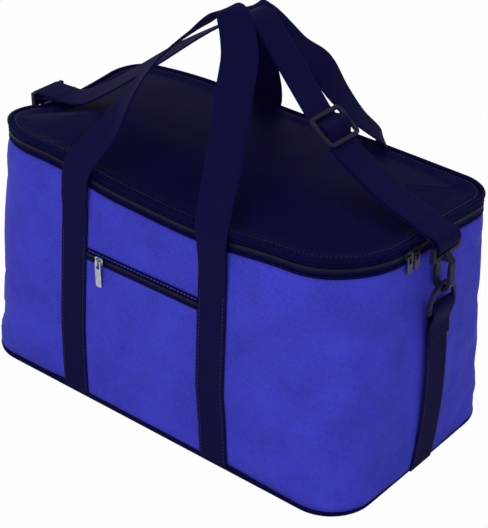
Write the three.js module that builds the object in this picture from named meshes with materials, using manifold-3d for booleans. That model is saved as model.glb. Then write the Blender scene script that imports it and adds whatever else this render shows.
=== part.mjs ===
// Insulated food bag, in millimetres, +Z up. A padded tub with a zipped lid, a front pocket, two carrying
// handles and a clip-on shoulder strap. The origin is the middle of the base, on the floor. -Y is the front.
import * as THREE from 'three';
import { mergeVertices } from 'three/addons/utils/BufferGeometryUtils.js';
import Module from 'manifold-3d';

const wasm = await Module();
wasm.setup();

// Tub: a rounded rectangle at the base and one with rounder front corners at the rim, with swollen walls
const BASE_LENGTH = 450;
const BASE_DEPTH = 242;
const BASE_CORNER = 48;
const RIM_LENGTH = 442;
const RIM_DEPTH = 210;
const RIM_FRONT_CORNER = 70;
const RIM_BACK_CORNER = 45;
const WALL_HEIGHT = 227;
const END_SWELL = 4;
const FRONT_SWELL = 3;
const PAN_HEIGHT = 8;
const PAN_ROUNDING = 5;

// Layers and the clearance between pieces that touch
const FABRIC = 1.2;
const FOAM = 5;
const FILM = 0.8;
const BASE_BOARD = 6;
const BINDING_HEIGHT = 3.7;
const CLEARANCE = 0.3;

// Main zip, from the end of one back corner round the front to the other
const ZIP_TAPE = 3.2;
const ZIP_END_ANGLE = 65;
const COIL_HEIGHT = 1.7;
const COIL_DEPTH = 2;
const COIL_PROUD = 0.6;

// Piping of the rim, below the zip, and of the lid's edge, above it
const RIM_PIPING = 3;
const RIM_PIPING_PROUD = 0.8;
const PIPING = 4.4;
const PIPING_PROUD = 1.2;
const PIPING_SIDES = 8;

// Lid
const LID_CROWN = 9;
const CROWN_RUN = 90;
const LID_FOAM = 5;
const HINGE_STRIP_LENGTH = 290;
const HINGE_STRIP_RISE = 1;
const BACK_BAND_RISE = 2.5;

// Webbing of the handles and straps
const WEBBING = 32;
const WEBBING_THICKNESS = 1.8;
const LAYER_GAP = 0.4;
const LEG_FOOT = 3;
const LEG_TOP = 219;
const LEG_SPACING_BASE = 179;
const LEG_SPACING_RIM = 152.6;

// Free loops of the two handles, gathered above the lid
const HANDLE_PIVOT_Z = 213;
const HANDLE_RISE = 39;
const GATHER_X = 20;
const HANDLE_TOP = 386;
const HANDLE_TOP_Y = 44;
const HANDLE_TURN = 22;
const HANDLE_TURN_DROP = 14;
const HANDLE_STEPS = 48;
const END_ROUNDING = [35, 65];

// Front pocket
const POCKET_FOOT = 9;
const POCKET_ZIP_Z = 160;
const POCKET_TAPE = 4;
const POCKET_COIL = 3;
const POCKET_COIL_DEPTH = 1.8;
const POCKET_SLIDER_X = -57;
const EDGE_GAP = 0.5;

// D-rings, standing in the folded end straps
const RING_BAR = 4;
const RING_BEVEL = 0.8;
const RING_SIDE_PLAY = 0.5;
const RING_RISE = 3;
const RING_X = 236;
const RING_Z = 176.5;
const END_STRAP_SEWN = 128;
const END_FOLD_LENGTH = 36;

// Snap hooks
const HOOK_ARM = 3;
const HOOK_THROAT = 5.5;
const HOOK_BOWL_PLAY = 1.1;
const HOOK_WIDTH = 7;
const HOOK_NOSE = 6;
const HOOK_GATE = 17;
const HOOK_HEAD = 8;
const EYE_BAR = 4;
const EYE_SLOT = 5.5;
const EYE_SIDE = 3.5;
const EYE_PLAY = 1;

// Shoulder strap
const STRAP_TOP_X = 34;
const STRAP_TOP = 392;
const STRAP_TURN = 16;
const STRAP_SAG = 6;
const STRAP_OVER_EDGE = 10;
const STRAP_INSIDE_EDGE = 7;
const STRAP_BEND = 14;
const STRAP_TAIL = 40;
const STRAP_SPREAD = 22;
const ADJUSTER_FROM_TOP = 118;
const ADJUSTER_SAG = 20;
const ADJUSTER_LEAD = 3;
const ADJUSTER_BAR = 4;
const ADJUSTER_THICKNESS = 3.6;
const ADJUSTER_RAIL = 4;
const ADJUSTER_CORNER = 5;
const ADJUSTER_BEVEL = 0.6;
const HUMP_ANGLE = 50;

// Zip sliders and pulls
const SLIDER_LENGTH = 9.5;
const SLIDER_HEIGHT = 7.6;
const SLIDER_PLATE = 1.3;
const SLIDER_CORNER = 2;
const CROWN_WIRE = 1;
const CROWN_WIDTH = 1.8;
const CROWN_TUNNEL = 2.6;
const CROWN_REACH = 2.6;
const PULL_WIDTH = 7;
const PULL_THICKNESS = 1.2;
const PULL_CROSSBAR = 1.6;
const PULL_HOLE_LENGTH = 6;
const PULL_HOLE_WIDTH = 4;
const PULL_AXIS_DROP = 0.6;
const MAIN_PULL_LENGTH = 17;
const POCKET_PULL_LENGTH = 27;
const SLIDER_SPACING = 10;

// Fineness of the round forms
const CORNER_STEPS = 6;
const WALL_STEPS = 5;
const ARC_STEPS = 8;
const SMALLEST_CORNER = 2;

// Heights and places that follow from the sizes above
const LINER_INSET = FABRIC + FOAM + 2 * CLEARANCE;
const FLOOR_Z = FABRIC + BASE_BOARD + 2 * CLEARANCE;
const RIM_PIPING_Z = WALL_HEIGHT + CLEARANCE;
const LOWER_TAPE_Z = RIM_PIPING_Z + RIM_PIPING + CLEARANCE;
const LOWER_COIL_Z = LOWER_TAPE_Z + ZIP_TAPE + CLEARANCE;
const UPPER_COIL_Z = LOWER_COIL_Z + COIL_HEIGHT + CLEARANCE;
const UPPER_TAPE_Z = UPPER_COIL_Z + COIL_HEIGHT + CLEARANCE;
const LID_EDGE = UPPER_TAPE_Z + ZIP_TAPE + CLEARANCE;
const ZIP_CENTRE_Z = UPPER_COIL_Z - CLEARANCE / 2;
const TAPE_INSET = COIL_DEPTH - COIL_PROUD - FABRIC;
const LID_INSET = PIPING - PIPING_PROUD + CLEARANCE;
const LID_PANEL_Z = LID_EDGE + PIPING / 2;
const RING_HALF = WEBBING / 2 + RING_SIDE_PLAY + RING_BAR / 2;
const RING_TOP_Z = RING_Z + RING_RISE + RING_HALF;
const RING_WRAP = Math.hypot(RING_BAR / 2, RING_BAR / 2 - RING_BEVEL) + CLEARANCE + WEBBING_THICKNESS / 2;
const HOOK_BOWL_Z = HOOK_THROAT - HOOK_BOWL_PLAY - RING_BAR / 2;
const GATE_FOOT_Z = HOOK_NOSE + LAYER_GAP;
const GATE_PIVOT_Z = GATE_FOOT_Z + HOOK_GATE - HOOK_ARM / 2;
const HEAD_Z = GATE_FOOT_Z + HOOK_GATE + LAYER_GAP;
const EYE_BAR_Z = HEAD_Z + HOOK_HEAD + EYE_SLOT + EYE_BAR / 2;
const EYE_WRAP = Math.hypot(EYE_BAR, EYE_BAR) / 2 + CLEARANCE + WEBBING_THICKNESS / 2;
const SLIDER_OUT = CLEARANCE + SLIDER_PLATE;
const PULL_AXIS_OUT = SLIDER_OUT + CROWN_TUNNEL / 2;

const DEGREE = Math.PI / 180;
const RIGHT_SIDE = 1;
const LEFT_SIDE = -1;
const FRONT = -1;
const BACK = 1;

// Finishes
const finish = (color, roughness, metalness = 0) =>
  new THREE.MeshStandardMaterial({ color, roughness, metalness });
const blueCloth = finish(0x3f3db8, 0.55);
const navyCloth = finish(0x15133a, 0.7);
const navyWebbing = finish(0x1b1848, 0.8);
const silverFilm = finish(0xc9ccd0, 0.3, 0.6);
const whiteFoam = finish(0xe9e8e2, 0.9);
const greyBoard = finish(0x8d8b86, 0.9);
const blackPlastic = finish(0x17171f, 0.45);
const brightMetal = finish(0xc4c6cb, 0.3, 0.9);

const bag = new THREE.Group();

function addNode(name, geometry, material, parent = bag) {
  const mesh = new THREE.Mesh(geometry, material);
  mesh.name = name;
  parent.add(mesh);
  return mesh;
}

// Closed surface from triangles, turned so that its faces point out
function closedSurface(points, triangles) {
  const geometry = new THREE.BufferGeometry();
  const places = points.flatMap((p) => [p.x, p.y, p.z]);
  geometry.setAttribute('position', new THREE.Float32BufferAttribute(places, 3));
  const volume = triangles.reduce((sum, [a, b, c]) => {
    const cross = new THREE.Vector3().crossVectors(points[b], points[c]);
    return sum + points[a].dot(cross);
  }, 0);
  const outward = volume > 0 ? triangles : triangles.map(([a, b, c]) => [a, c, b]);
  geometry.setIndex(outward.flat());
  geometry.computeVertexNormals();
  return geometry;
}

// Surface through a row of like loops with an even count of points: joined end to end when closed, and
// otherwise capped by rungs from the first half of the end loop to its second half
function skin(loops, closed) {
  const count = loops[0].length;
  const triangles = [];
  const joins = closed ? loops.length : loops.length - 1;
  for (let i = 0; i < joins; i += 1) {
    const here = i * count;
    const next = ((i + 1) % loops.length) * count;
    for (let k = 0; k < count; k += 1) {
      const after = (k + 1) % count;
      triangles.push([here + k, here + after, next + after], [here + k, next + after, next + k]);
    }
  }
  if (!closed) {
    const last = (loops.length - 1) * count;
    for (let k = 0; k < count / 2 - 1; k += 1) {
      const far = count - 1 - k;
      triangles.push([k, far - 1, k + 1], [k, far, far - 1]);
      triangles.push([last + k, last + k + 1, last + far - 1], [last + k, last + far - 1, last + far]);
    }
  }
  return closedSurface(loops.flat(), triangles);
}

function toSolid(geometry) {
  const plain = geometry.clone();
  plain.deleteAttribute('normal');
  plain.deleteAttribute('uv');
  const merged = mergeVertices(plain);
  const triVerts = new Uint32Array(merged.index.array);
  const vertProperties = new Float32Array(merged.attributes.position.array);
  return new wasm.Manifold(new wasm.Mesh({ numProp: 3, vertProperties, triVerts }));
}

function joined(geometries) {
  const solid = geometries.map(toSolid).reduce((whole, piece) => whole.add(piece));
  const mesh = solid.getMesh();
  const geometry = new THREE.BufferGeometry();
  geometry.setAttribute('position', new THREE.Float32BufferAttribute(mesh.vertProperties, 3));
  geometry.setIndex(Array.from(mesh.triVerts));
  geometry.computeVertexNormals();
  return geometry;
}

// Plan of the tub at a height
function wallAt(z) {
  const t = Math.min(z / WALL_HEIGHT, 1);
  const swell = 4 * t * (1 - t);
  return {
    halfLength: THREE.MathUtils.lerp(BASE_LENGTH, RIM_LENGTH, t) / 2 + END_SWELL * swell,
    halfDepth: THREE.MathUtils.lerp(BASE_DEPTH, RIM_DEPTH, t) / 2 + FRONT_SWELL * swell,
    frontCorner: THREE.MathUtils.lerp(BASE_CORNER, RIM_FRONT_CORNER, t),
    backCorner: THREE.MathUtils.lerp(BASE_CORNER, RIM_BACK_CORNER, t),
  };
}

// The four corners clockwise from the back right one, each with the bearing that it starts at
const CORNERS = [
  { x: 1, y: BACK, start: 90 },
  { x: 1, y: FRONT, start: 0 },
  { x: -1, y: FRONT, start: -90 },
  { x: -1, y: BACK, start: 180 },
];
const cornerStops = (corner) => Array.from({ length: CORNER_STEPS + 1 }, (unused, i) => (
  { corner, bearing: corner.start - (90 * i) / CORNER_STEPS }));
const ALL_ROUND = CORNERS.flatMap(cornerStops);

function stopsOfZip() {
  const [backRight, , , backLeft] = CORNERS;
  const inside = ALL_ROUND.filter(({ corner, bearing }) => {
    if (corner === backRight) return bearing < ZIP_END_ANGLE;
    if (corner === backLeft) return bearing > 180 - ZIP_END_ANGLE;
    return true;
  });
  const first = { corner: backRight, bearing: ZIP_END_ANGLE };
  const last = { corner: backLeft, bearing: 180 - ZIP_END_ANGLE };
  return [first, ...inside, last];
}

function stopsOfBack() {
  const [backRight, , , backLeft] = CORNERS;
  const end = ZIP_END_ANGLE + CLEARANCE / RIM_BACK_CORNER / DEGREE;
  const left = cornerStops(backLeft).filter(({ bearing }) => bearing < 180 - end);
  const right = cornerStops(backRight).filter(({ bearing }) => bearing > end);
  return [{ corner: backLeft, bearing: 180 - end }, ...left, ...right, { corner: backRight, bearing: end }];
}

function planPoint({ corner, bearing }, inset, z) {
  const wall = wallAt(z);
  const outer = corner.y === FRONT ? wall.frontCorner : wall.backCorner;
  const radius = Math.max(outer - inset, SMALLEST_CORNER);
  const x = corner.x * (wall.halfLength - inset - radius) + radius * Math.cos(bearing * DEGREE);
  const y = corner.y * (wall.halfDepth - inset - radius) + radius * Math.sin(bearing * DEGREE);
  return new THREE.Vector3(x, y, z);
}

// A section of [inset, z] corners carried round the plan
const band = (section, stops, closed) =>
  skin(stops.map((stop) => section.map(([inset, z]) => planPoint(stop, inset, z))), closed);
const box = (outer, inner, low, high) => [[outer, low], [outer, high], [inner, high], [inner, low]];

// Levels of [inset, z] from one cap to the other
const stack = (levels) =>
  skin(levels.map(([inset, z]) => ALL_ROUND.map((stop) => planPoint(stop, inset, z))), false);

const heights = (low, high) => Array.from({ length: WALL_STEPS + 1 }, (unused, i) =>
  low + ((high - low) * i) / WALL_STEPS);

function wallSection(outer, inner, low, high) {
  const levels = heights(low, high);
  return [...levels.map((z) => [outer, z]), ...levels.reverse().map((z) => [inner, z])];
}

// Foam padding in eight pieces: a panel for each side and one bent round each corner
function addWallFoam(section) {
  const [backRight, frontRight, frontLeft, backLeft] = CORNERS;
  const trim = CLEARANCE / BASE_CORNER / DEGREE;
  const starts = (corner) => ({ corner, bearing: corner.start });
  const ends = (corner) => ({ corner, bearing: corner.start - 90 });
  const bent = (corner) => cornerStops(corner).map(({ bearing }) => {
    const inside = THREE.MathUtils.clamp(bearing, corner.start - 90 + trim, corner.start - trim);
    return { corner, bearing: inside };
  });
  const pieces = {
    front: [ends(frontRight), starts(frontLeft)],
    rear: [ends(backLeft), starts(backRight)],
    left: [ends(frontLeft), starts(backLeft)],
    right: [ends(backRight), starts(frontRight)],
    corner_front_left: bent(frontLeft),
    corner_front_right: bent(frontRight),
    corner_rear_left: bent(backLeft),
    corner_rear_right: bent(backRight),
  };
  for (const [place, stops] of Object.entries(pieces)) {
    addNode(`wall_foam_${place}`, band(section, stops, false), whiteFoam);
  }
}

function addTub() {
  addNode('bottom_panel', stack([
    [FABRIC + CLEARANCE / 2 + PAN_ROUNDING, FABRIC],
    [FABRIC, FABRIC + PAN_ROUNDING],
    [FABRIC, PAN_HEIGHT],
    [0, PAN_HEIGHT],
    [0, PAN_ROUNDING],
    [PAN_ROUNDING * (1 - Math.SQRT1_2), PAN_ROUNDING * (1 - Math.SQRT1_2)],
    [PAN_ROUNDING, 0],
  ]), navyCloth);
  const boardInset = FABRIC + CLEARANCE + PAN_ROUNDING;
  addNode('base_board', stack([
    [boardInset, FABRIC + CLEARANCE],
    [boardInset, FABRIC + CLEARANCE + BASE_BOARD],
  ]), greyBoard);
  const clothSection = wallSection(0, FABRIC, PAN_HEIGHT + CLEARANCE, WALL_HEIGHT);
  addNode('outer_wall', band(clothSection, ALL_ROUND, true), blueCloth);
  const foamInset = FABRIC + CLEARANCE;
  const bindingZ = WALL_HEIGHT - BINDING_HEIGHT;
  const layersTop = bindingZ - CLEARANCE;
  addWallFoam(wallSection(foamInset, foamInset + FOAM, PAN_HEIGHT, layersTop));
  const bindingSection = box(foamInset, LINER_INSET + FILM, bindingZ, WALL_HEIGHT);
  addNode('rim_binding', band(bindingSection, ALL_ROUND, true), navyCloth);
  const outside = heights(FLOOR_Z, layersTop).map((z) => [LINER_INSET, z]);
  const inside = heights(FLOOR_Z + FILM, layersTop).reverse().map((z) => [LINER_INSET + FILM, z]);
  addNode('liner', stack([...outside, ...inside]), silverFilm);
}

// Round cord let into a seam, as a section of [inset, z] corners
function pipingSection(size, proud, low) {
  const radius = size / 2;
  return Array.from({ length: PIPING_SIDES }, (unused, i) => {
    const turn = ((i + 0.5) / PIPING_SIDES) * 2 * Math.PI;
    return [radius - proud - radius * Math.cos(turn), low + radius + radius * Math.sin(turn)];
  });
}

function addMainZip() {
  const stops = stopsOfZip();
  const rimCord = pipingSection(RIM_PIPING, RIM_PIPING_PROUD, RIM_PIPING_Z);
  addNode('rim_piping', band(rimCord, stops, false), navyCloth);
  const tape = (low) => band(box(TAPE_INSET, TAPE_INSET + FABRIC, low, low + ZIP_TAPE), stops, false);
  const coil = (low) => band(box(-COIL_PROUD, COIL_DEPTH - COIL_PROUD, low, low + COIL_HEIGHT), stops, false);
  addNode('main_zip_tape_lower', tape(LOWER_TAPE_Z), navyCloth);
  addNode('main_zip_coil_lower', coil(LOWER_COIL_Z), navyCloth);
  addNode('main_zip_coil_upper', coil(UPPER_COIL_Z), navyCloth);
  addNode('main_zip_tape_upper', tape(UPPER_TAPE_Z), navyCloth);
}

// A sheet of the lid, crowned towards the middle
function lidSheet(top, thickness) {
  const middle = RIM_DEPTH / 2 - SMALLEST_CORNER - CLEARANCE;
  const insets = heights(0, 1).map((t) => THREE.MathUtils.lerp(LID_INSET, middle, t * t));
  const crown = (inset) => LID_CROWN * Math.sin(Math.min((inset - LID_INSET) / CROWN_RUN, 1) * Math.PI / 2);
  const upper = insets.map((inset) => [inset, top + crown(inset)]);
  const lower = insets.map((inset) => [inset, top + crown(inset) - thickness]).reverse();
  return stack([...lower, ...upper]);
}

function addLid() {
  const foamTop = LID_PANEL_Z - FABRIC - CLEARANCE;
  addNode('lid_panel', lidSheet(LID_PANEL_Z, FABRIC), navyCloth);
  addNode('lid_foam', lidSheet(foamTop, LID_FOAM), whiteFoam);
  addNode('lid_liner', lidSheet(foamTop - LID_FOAM - CLEARANCE, FILM), silverFilm);
  addNode('lid_piping', band(pipingSection(PIPING, PIPING_PROUD, LID_EDGE), ALL_ROUND, true), navyCloth);
  const low = WALL_HEIGHT + BACK_BAND_RISE;
  const high = UPPER_TAPE_Z + ZIP_TAPE;
  const bandSection = box(TAPE_INSET, TAPE_INSET + FABRIC, low, high);
  addNode('lid_back_band', band(bandSection, stopsOfBack(), false), navyCloth);
}

// A flat piece lying on the front or back wall, between two edges that may lean
function wallStrip(side, low, high, left, right, standOff, thickness) {
  return skin(heights(low, high).map((z) => {
    const near = side * (wallAt(z).halfDepth + standOff);
    const far = near + side * thickness;
    return [[left(z), near], [right(z), near], [right(z), far], [left(z), far]]
      .map(([x, y]) => new THREE.Vector3(x, y, z));
  }), false);
}

const legCentre = (z) => THREE.MathUtils.lerp(LEG_SPACING_BASE, LEG_SPACING_RIM, z / WALL_HEIGHT) / 2;

function addHandleLegs() {
  for (const [row, side] of [['front', FRONT], ['rear', BACK]]) {
    for (const [hand, sign] of [['left', LEFT_SIDE], ['right', RIGHT_SIDE]]) {
      const edge = (reach) => (z) => sign * legCentre(z) + reach;
      const strip = wallStrip(side, LEG_FOOT, LEG_TOP, edge(-WEBBING / 2), edge(WEBBING / 2),
        CLEARANCE, WEBBING_THICKNESS);
      addNode(`${row}_handle_leg_${hand}`, strip, navyWebbing);
    }
  }
  const half = () => HINGE_STRIP_LENGTH / 2;
  const minusHalf = () => -HINGE_STRIP_LENGTH / 2;
  const strip = wallStrip(BACK, LEG_TOP + EDGE_GAP, WALL_HEIGHT + HINGE_STRIP_RISE, minusHalf, half,
    CLEARANCE, FABRIC);
  addNode('hinge_strip', strip, navyCloth);
}

// Free loop of a handle. It starts flat on its legs with rounded ends, rises past the lid's edge and turns on
// the way up, so that it crosses the top with its face upwards.
function handleLoop(gatherX) {
  const half = legCentre(HANDLE_PIVOT_Z);
  const y = -(wallAt(HANDLE_PIVOT_Z).halfDepth + 2 * CLEARANCE + 1.5 * WEBBING_THICKNESS);
  const rise = HANDLE_PIVOT_Z + HANDLE_RISE;
  const curve = new THREE.CatmullRomCurve3([
    new THREE.Vector3(half, y, HANDLE_PIVOT_Z),
    new THREE.Vector3(half, y, rise),
    new THREE.Vector3(gatherX + HANDLE_TURN, -HANDLE_TOP_Y, HANDLE_TOP - HANDLE_TURN_DROP),
    new THREE.Vector3(gatherX, -HANDLE_TOP_Y, HANDLE_TOP),
    new THREE.Vector3(gatherX - HANDLE_TURN, -HANDLE_TOP_Y, HANDLE_TOP - HANDLE_TURN_DROP),
    new THREE.Vector3(-half, y, rise),
    new THREE.Vector3(-half, y, HANDLE_PIVOT_Z),
  ]);
  const spans = curve.points.length - 1;
  const section = (t, beyond, thickness) => {
    const along = curve.getTangent(t);
    const centre = curve.getPoint(t).addScaledVector(along, beyond);
    const turn = Math.PI * THREE.MathUtils.clamp((t * spans - 1) / (spans - 2), 0, 1);
    const across = new THREE.Vector3(-Math.cos(turn), -Math.sin(turn), 0);
    across.addScaledVector(along, -across.dot(along)).normalize();
    const out = new THREE.Vector3().crossVectors(along, across);
    return [[-1, -1], [1, -1], [1, 1], [-1, 1]].map(([a, b]) => centre.clone()
      .addScaledVector(across, (a * WEBBING) / 2)
      .addScaledVector(out, (b * thickness) / 2));
  };
  const rounded = (t, way) => END_ROUNDING.map((angle) => section(t,
    (way * WEBBING_THICKNESS * Math.sin(angle * DEGREE)) / 2, WEBBING_THICKNESS * Math.cos(angle * DEGREE)));
  const along = Array.from({ length: HANDLE_STEPS + 1 }, (unused, i) =>
    section(i / HANDLE_STEPS, 0, WEBBING_THICKNESS));
  return skin([...rounded(0, -1).reverse(), ...along, ...rounded(1, 1)], false);
}

function addHandleLoops() {
  addNode('front_handle_loop', handleLoop(GATHER_X), navyWebbing);
  const rear = addNode('rear_handle_loop', handleLoop(-GATHER_X), navyWebbing);
  rear.rotation.z = Math.PI;
}

function addPocket() {
  const inner = (sign) => (z) => sign * (legCentre(z) - WEBBING / 2 - EDGE_GAP);
  const strip = (low, high, thickness) => wallStrip(FRONT, low, high, inner(LEFT_SIDE), inner(RIGHT_SIDE),
    CLEARANCE, thickness);
  const coilLow = POCKET_ZIP_Z - POCKET_COIL / 2;
  const coilHigh = POCKET_ZIP_Z + POCKET_COIL / 2;
  const tapeLow = coilLow - CLEARANCE - POCKET_TAPE;
  const tapeHigh = coilHigh + CLEARANCE + POCKET_TAPE;
  addNode('pocket_panel', strip(POCKET_FOOT, tapeLow - CLEARANCE, FABRIC), blueCloth);
  addNode('pocket_zip_tape_lower', strip(tapeLow, coilLow - CLEARANCE, FABRIC), navyCloth);
  addNode('pocket_zip_coil', strip(coilLow, coilHigh, POCKET_COIL_DEPTH), navyCloth);
  addNode('pocket_zip_tape_upper', strip(coilHigh + CLEARANCE, tapeHigh, FABRIC), navyCloth);
}

const arc = (cx, cz, radius, from, to) => Array.from({ length: ARC_STEPS + 1 }, (unused, i) => {
  const turn = (from + ((to - from) * i) / ARC_STEPS) * DEGREE;
  return new THREE.Vector2(cx + radius * Math.cos(turn), cz + radius * Math.sin(turn));
});

// Unit direction of a polyline at each of its points
const directions = (path) => path.map((point, i) => {
  const before = path[Math.max(i - 1, 0)];
  const after = path[Math.min(i + 1, path.length - 1)];
  return after.clone().sub(before).normalize();
});

// The path moved to its right-hand side by a distance that may change from point to point
const movedRight = (path, distance) => {
  const along = directions(path);
  return path.map((point, i) => {
    const right = new THREE.Vector2(along[i].y, -along[i].x);
    return point.clone().addScaledVector(right, distance(i));
  });
};

// Webbing that follows a path in the XZ plane, with its width along Y
function ribbon(path) {
  const right = movedRight(path, () => WEBBING_THICKNESS / 2);
  const left = movedRight(path, () => -WEBBING_THICKNESS / 2);
  const shape = new THREE.Shape([...right, ...left.reverse()]);
  const geometry = new THREE.ExtrudeGeometry(shape, { depth: WEBBING, bevelEnabled: false });
  return geometry.rotateX(Math.PI / 2).translate(0, WEBBING / 2, 0);
}

const pathLengths = (path) => path.reduce((sums, point, i) =>
  [...sums, i === 0 ? 0 : sums[i - 1] + point.distanceTo(path[i - 1])], []);

// Distance between the two layers of folded webbing: wide round the bar, close once they lie together
const foldSpread = (wrap, fromBar) => {
  const close = WEBBING_THICKNESS + LAYER_GAP;
  return THREE.MathUtils.lerp(2 * wrap, close, THREE.MathUtils.smoothstep(fromBar, 0, STRAP_SPREAD));
};

// End strap of the right-hand end: up the wall, away from it to the D-ring's bar, over that and down again
function endStrap() {
  const onWall = (z) => new THREE.Vector2(wallAt(z).halfLength + CLEARANCE + WEBBING_THICKNESS / 2, z);
  const sewn = heights(LEG_FOOT, END_STRAP_SEWN).map(onWall);
  const foot = sewn[sewn.length - 1];
  const bar = new THREE.Vector2(RING_X - RING_WRAP, RING_Z);
  const lift = (bar.y - foot.y) / 2;
  const below = new THREE.Vector2(bar.x, bar.y - lift);
  const lean = new THREE.CubicBezierCurve(foot, onWall(foot.y + lift), below, bar);
  const free = lean.getPoints(ARC_STEPS).slice(1);
  const up = [...sewn, ...free];
  const lengths = pathLengths(up);
  const fromBar = (i) => lengths[lengths.length - 1] - lengths[i];
  const down = movedRight(up, (i) => foldSpread(RING_WRAP, fromBar(i)))
    .filter((point, i) => fromBar(i) < END_FOLD_LENGTH).reverse();
  const over = arc(RING_X, RING_Z, RING_WRAP, 180, 0).slice(1, -1);
  return ribbon([...up, ...over, ...down]);
}

// D-ring in the YZ plane, a moulded bar bent to a half circle over a straight foot
function dRing() {
  const outline = (grow) => {
    const radius = RING_HALF + grow;
    const foot = -RING_RISE - grow;
    const shape = new THREE.Shape();
    shape.moveTo(-radius, foot);
    shape.lineTo(radius, foot);
    shape.lineTo(radius, 0);
    shape.absarc(0, 0, radius, 0, Math.PI, false);
    return shape;
  };
  const solid = RING_BAR / 2 - RING_BEVEL;
  const ring = outline(solid);
  ring.holes.push(new THREE.Path(outline(-solid).getPoints(2 * CORNER_STEPS).reverse()));
  const geometry = new THREE.ExtrudeGeometry(ring, {
    depth: RING_BAR - 2 * RING_BEVEL,
    bevelThickness: RING_BEVEL,
    bevelSize: RING_BEVEL,
    bevelSegments: 1,
    curveSegments: 2 * CORNER_STEPS,
  });
  geometry.translate(0, 0, RING_BEVEL - RING_BAR / 2);
  geometry.rotateX(Math.PI / 2).rotateZ(Math.PI / 2);
  return geometry.translate(RING_X, 0, RING_Z + RING_RISE);
}

// A profile in the XZ plane, drawn from the D-ring's top bar, with a width along Y
function hookPlate(shape, width) {
  const settings = { depth: width, bevelEnabled: false, curveSegments: ARC_STEPS };
  const geometry = new THREE.ExtrudeGeometry(shape, settings);
  return geometry.rotateX(Math.PI / 2).translate(RING_X, width / 2, RING_TOP_Z);
}

// Snap hook: shank, bowl and nose round the D-ring, and an eye that carries the webbing
function snapHook() {
  const reach = HOOK_THROAT + HOOK_ARM;
  const headTop = HEAD_Z + HOOK_HEAD;
  const profile = new THREE.Shape();
  profile.moveTo(-reach, headTop);
  profile.lineTo(-reach, HOOK_BOWL_Z);
  profile.absarc(0, HOOK_BOWL_Z, reach, Math.PI, 2 * Math.PI, false);
  profile.lineTo(reach, HOOK_NOSE);
  profile.lineTo(HOOK_THROAT, HOOK_NOSE);
  profile.lineTo(HOOK_THROAT, HOOK_BOWL_Z);
  profile.absarc(0, HOOK_BOWL_Z, HOOK_THROAT, 0, -Math.PI, true);
  profile.lineTo(-HOOK_THROAT, HEAD_Z);
  profile.lineTo(reach, HEAD_Z);
  profile.lineTo(EYE_BAR / 2, headTop);
  const half = WEBBING / 2 + EYE_PLAY;
  const frame = new THREE.Shape();
  const low = headTop - EYE_BAR;
  const high = EYE_BAR_Z + EYE_BAR / 2;
  frame.moveTo(-half - EYE_SIDE, low);
  frame.lineTo(half + EYE_SIDE, low);
  frame.lineTo(half + EYE_SIDE, high);
  frame.lineTo(-half - EYE_SIDE, high);
  const slot = new THREE.Path();
  slot.moveTo(-half, headTop);
  slot.lineTo(-half, headTop + EYE_SLOT);
  slot.lineTo(half, headTop + EYE_SLOT);
  slot.lineTo(half, headTop);
  frame.holes.push(slot);
  const eye = new THREE.ExtrudeGeometry(frame, { depth: EYE_BAR, bevelEnabled: false });
  eye.translate(0, 0, -EYE_BAR / 2).rotateX(Math.PI / 2).rotateZ(Math.PI / 2);
  eye.translate(RING_X, 0, RING_TOP_Z);
  return joined([hookPlate(profile, HOOK_WIDTH), eye]);
}

// Sprung gate between the nose and the head, hung from its round upper end
function hookGate() {
  const middle = HOOK_THROAT + HOOK_ARM / 2;
  const gate = new THREE.Shape();
  gate.moveTo(middle - HOOK_ARM / 2, GATE_FOOT_Z);
  gate.lineTo(middle + HOOK_ARM / 2, GATE_FOOT_Z);
  gate.lineTo(middle + HOOK_ARM / 2, GATE_PIVOT_Z);
  gate.absarc(middle, GATE_PIVOT_Z, HOOK_ARM / 2, 0, Math.PI, false);
  return hookPlate(gate, HOOK_WIDTH);
}

function addEnds() {
  for (const [hand, turn] of [['right', 0], ['left', Math.PI]]) {
    const end = new THREE.Group();
    end.rotation.z = turn;
    bag.add(end);
    addNode(`end_strap_${hand}`, endStrap(), navyWebbing, end);
    addNode(`d_ring_${hand}`, dRing(), blackPlastic, end);
    addNode(`hook_${hand}`, snapHook(), blackPlastic, end);
    addNode(`hook_gate_${hand}`, hookGate(), blackPlastic, end);
  }
}

// Webbing from a hook's eye, past the lid's edge and on to its straight run
function overEdge(side, top) {
  const bar = new THREE.Vector2(side * (RING_X + EYE_WRAP), RING_TOP_Z + EYE_BAR_Z);
  const insideX = side * (RIM_LENGTH / 2 - STRAP_INSIDE_EDGE);
  const inside = new THREE.Vector2(insideX, LID_EDGE + PIPING + STRAP_OVER_EDGE);
  const along = top.clone().sub(inside).normalize();
  return new THREE.CubicBezierCurve(bar, new THREE.Vector2(bar.x, bar.y + STRAP_BEND),
    inside.clone().addScaledVector(along, -STRAP_BEND), inside).getPoints(ARC_STEPS);
}

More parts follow.
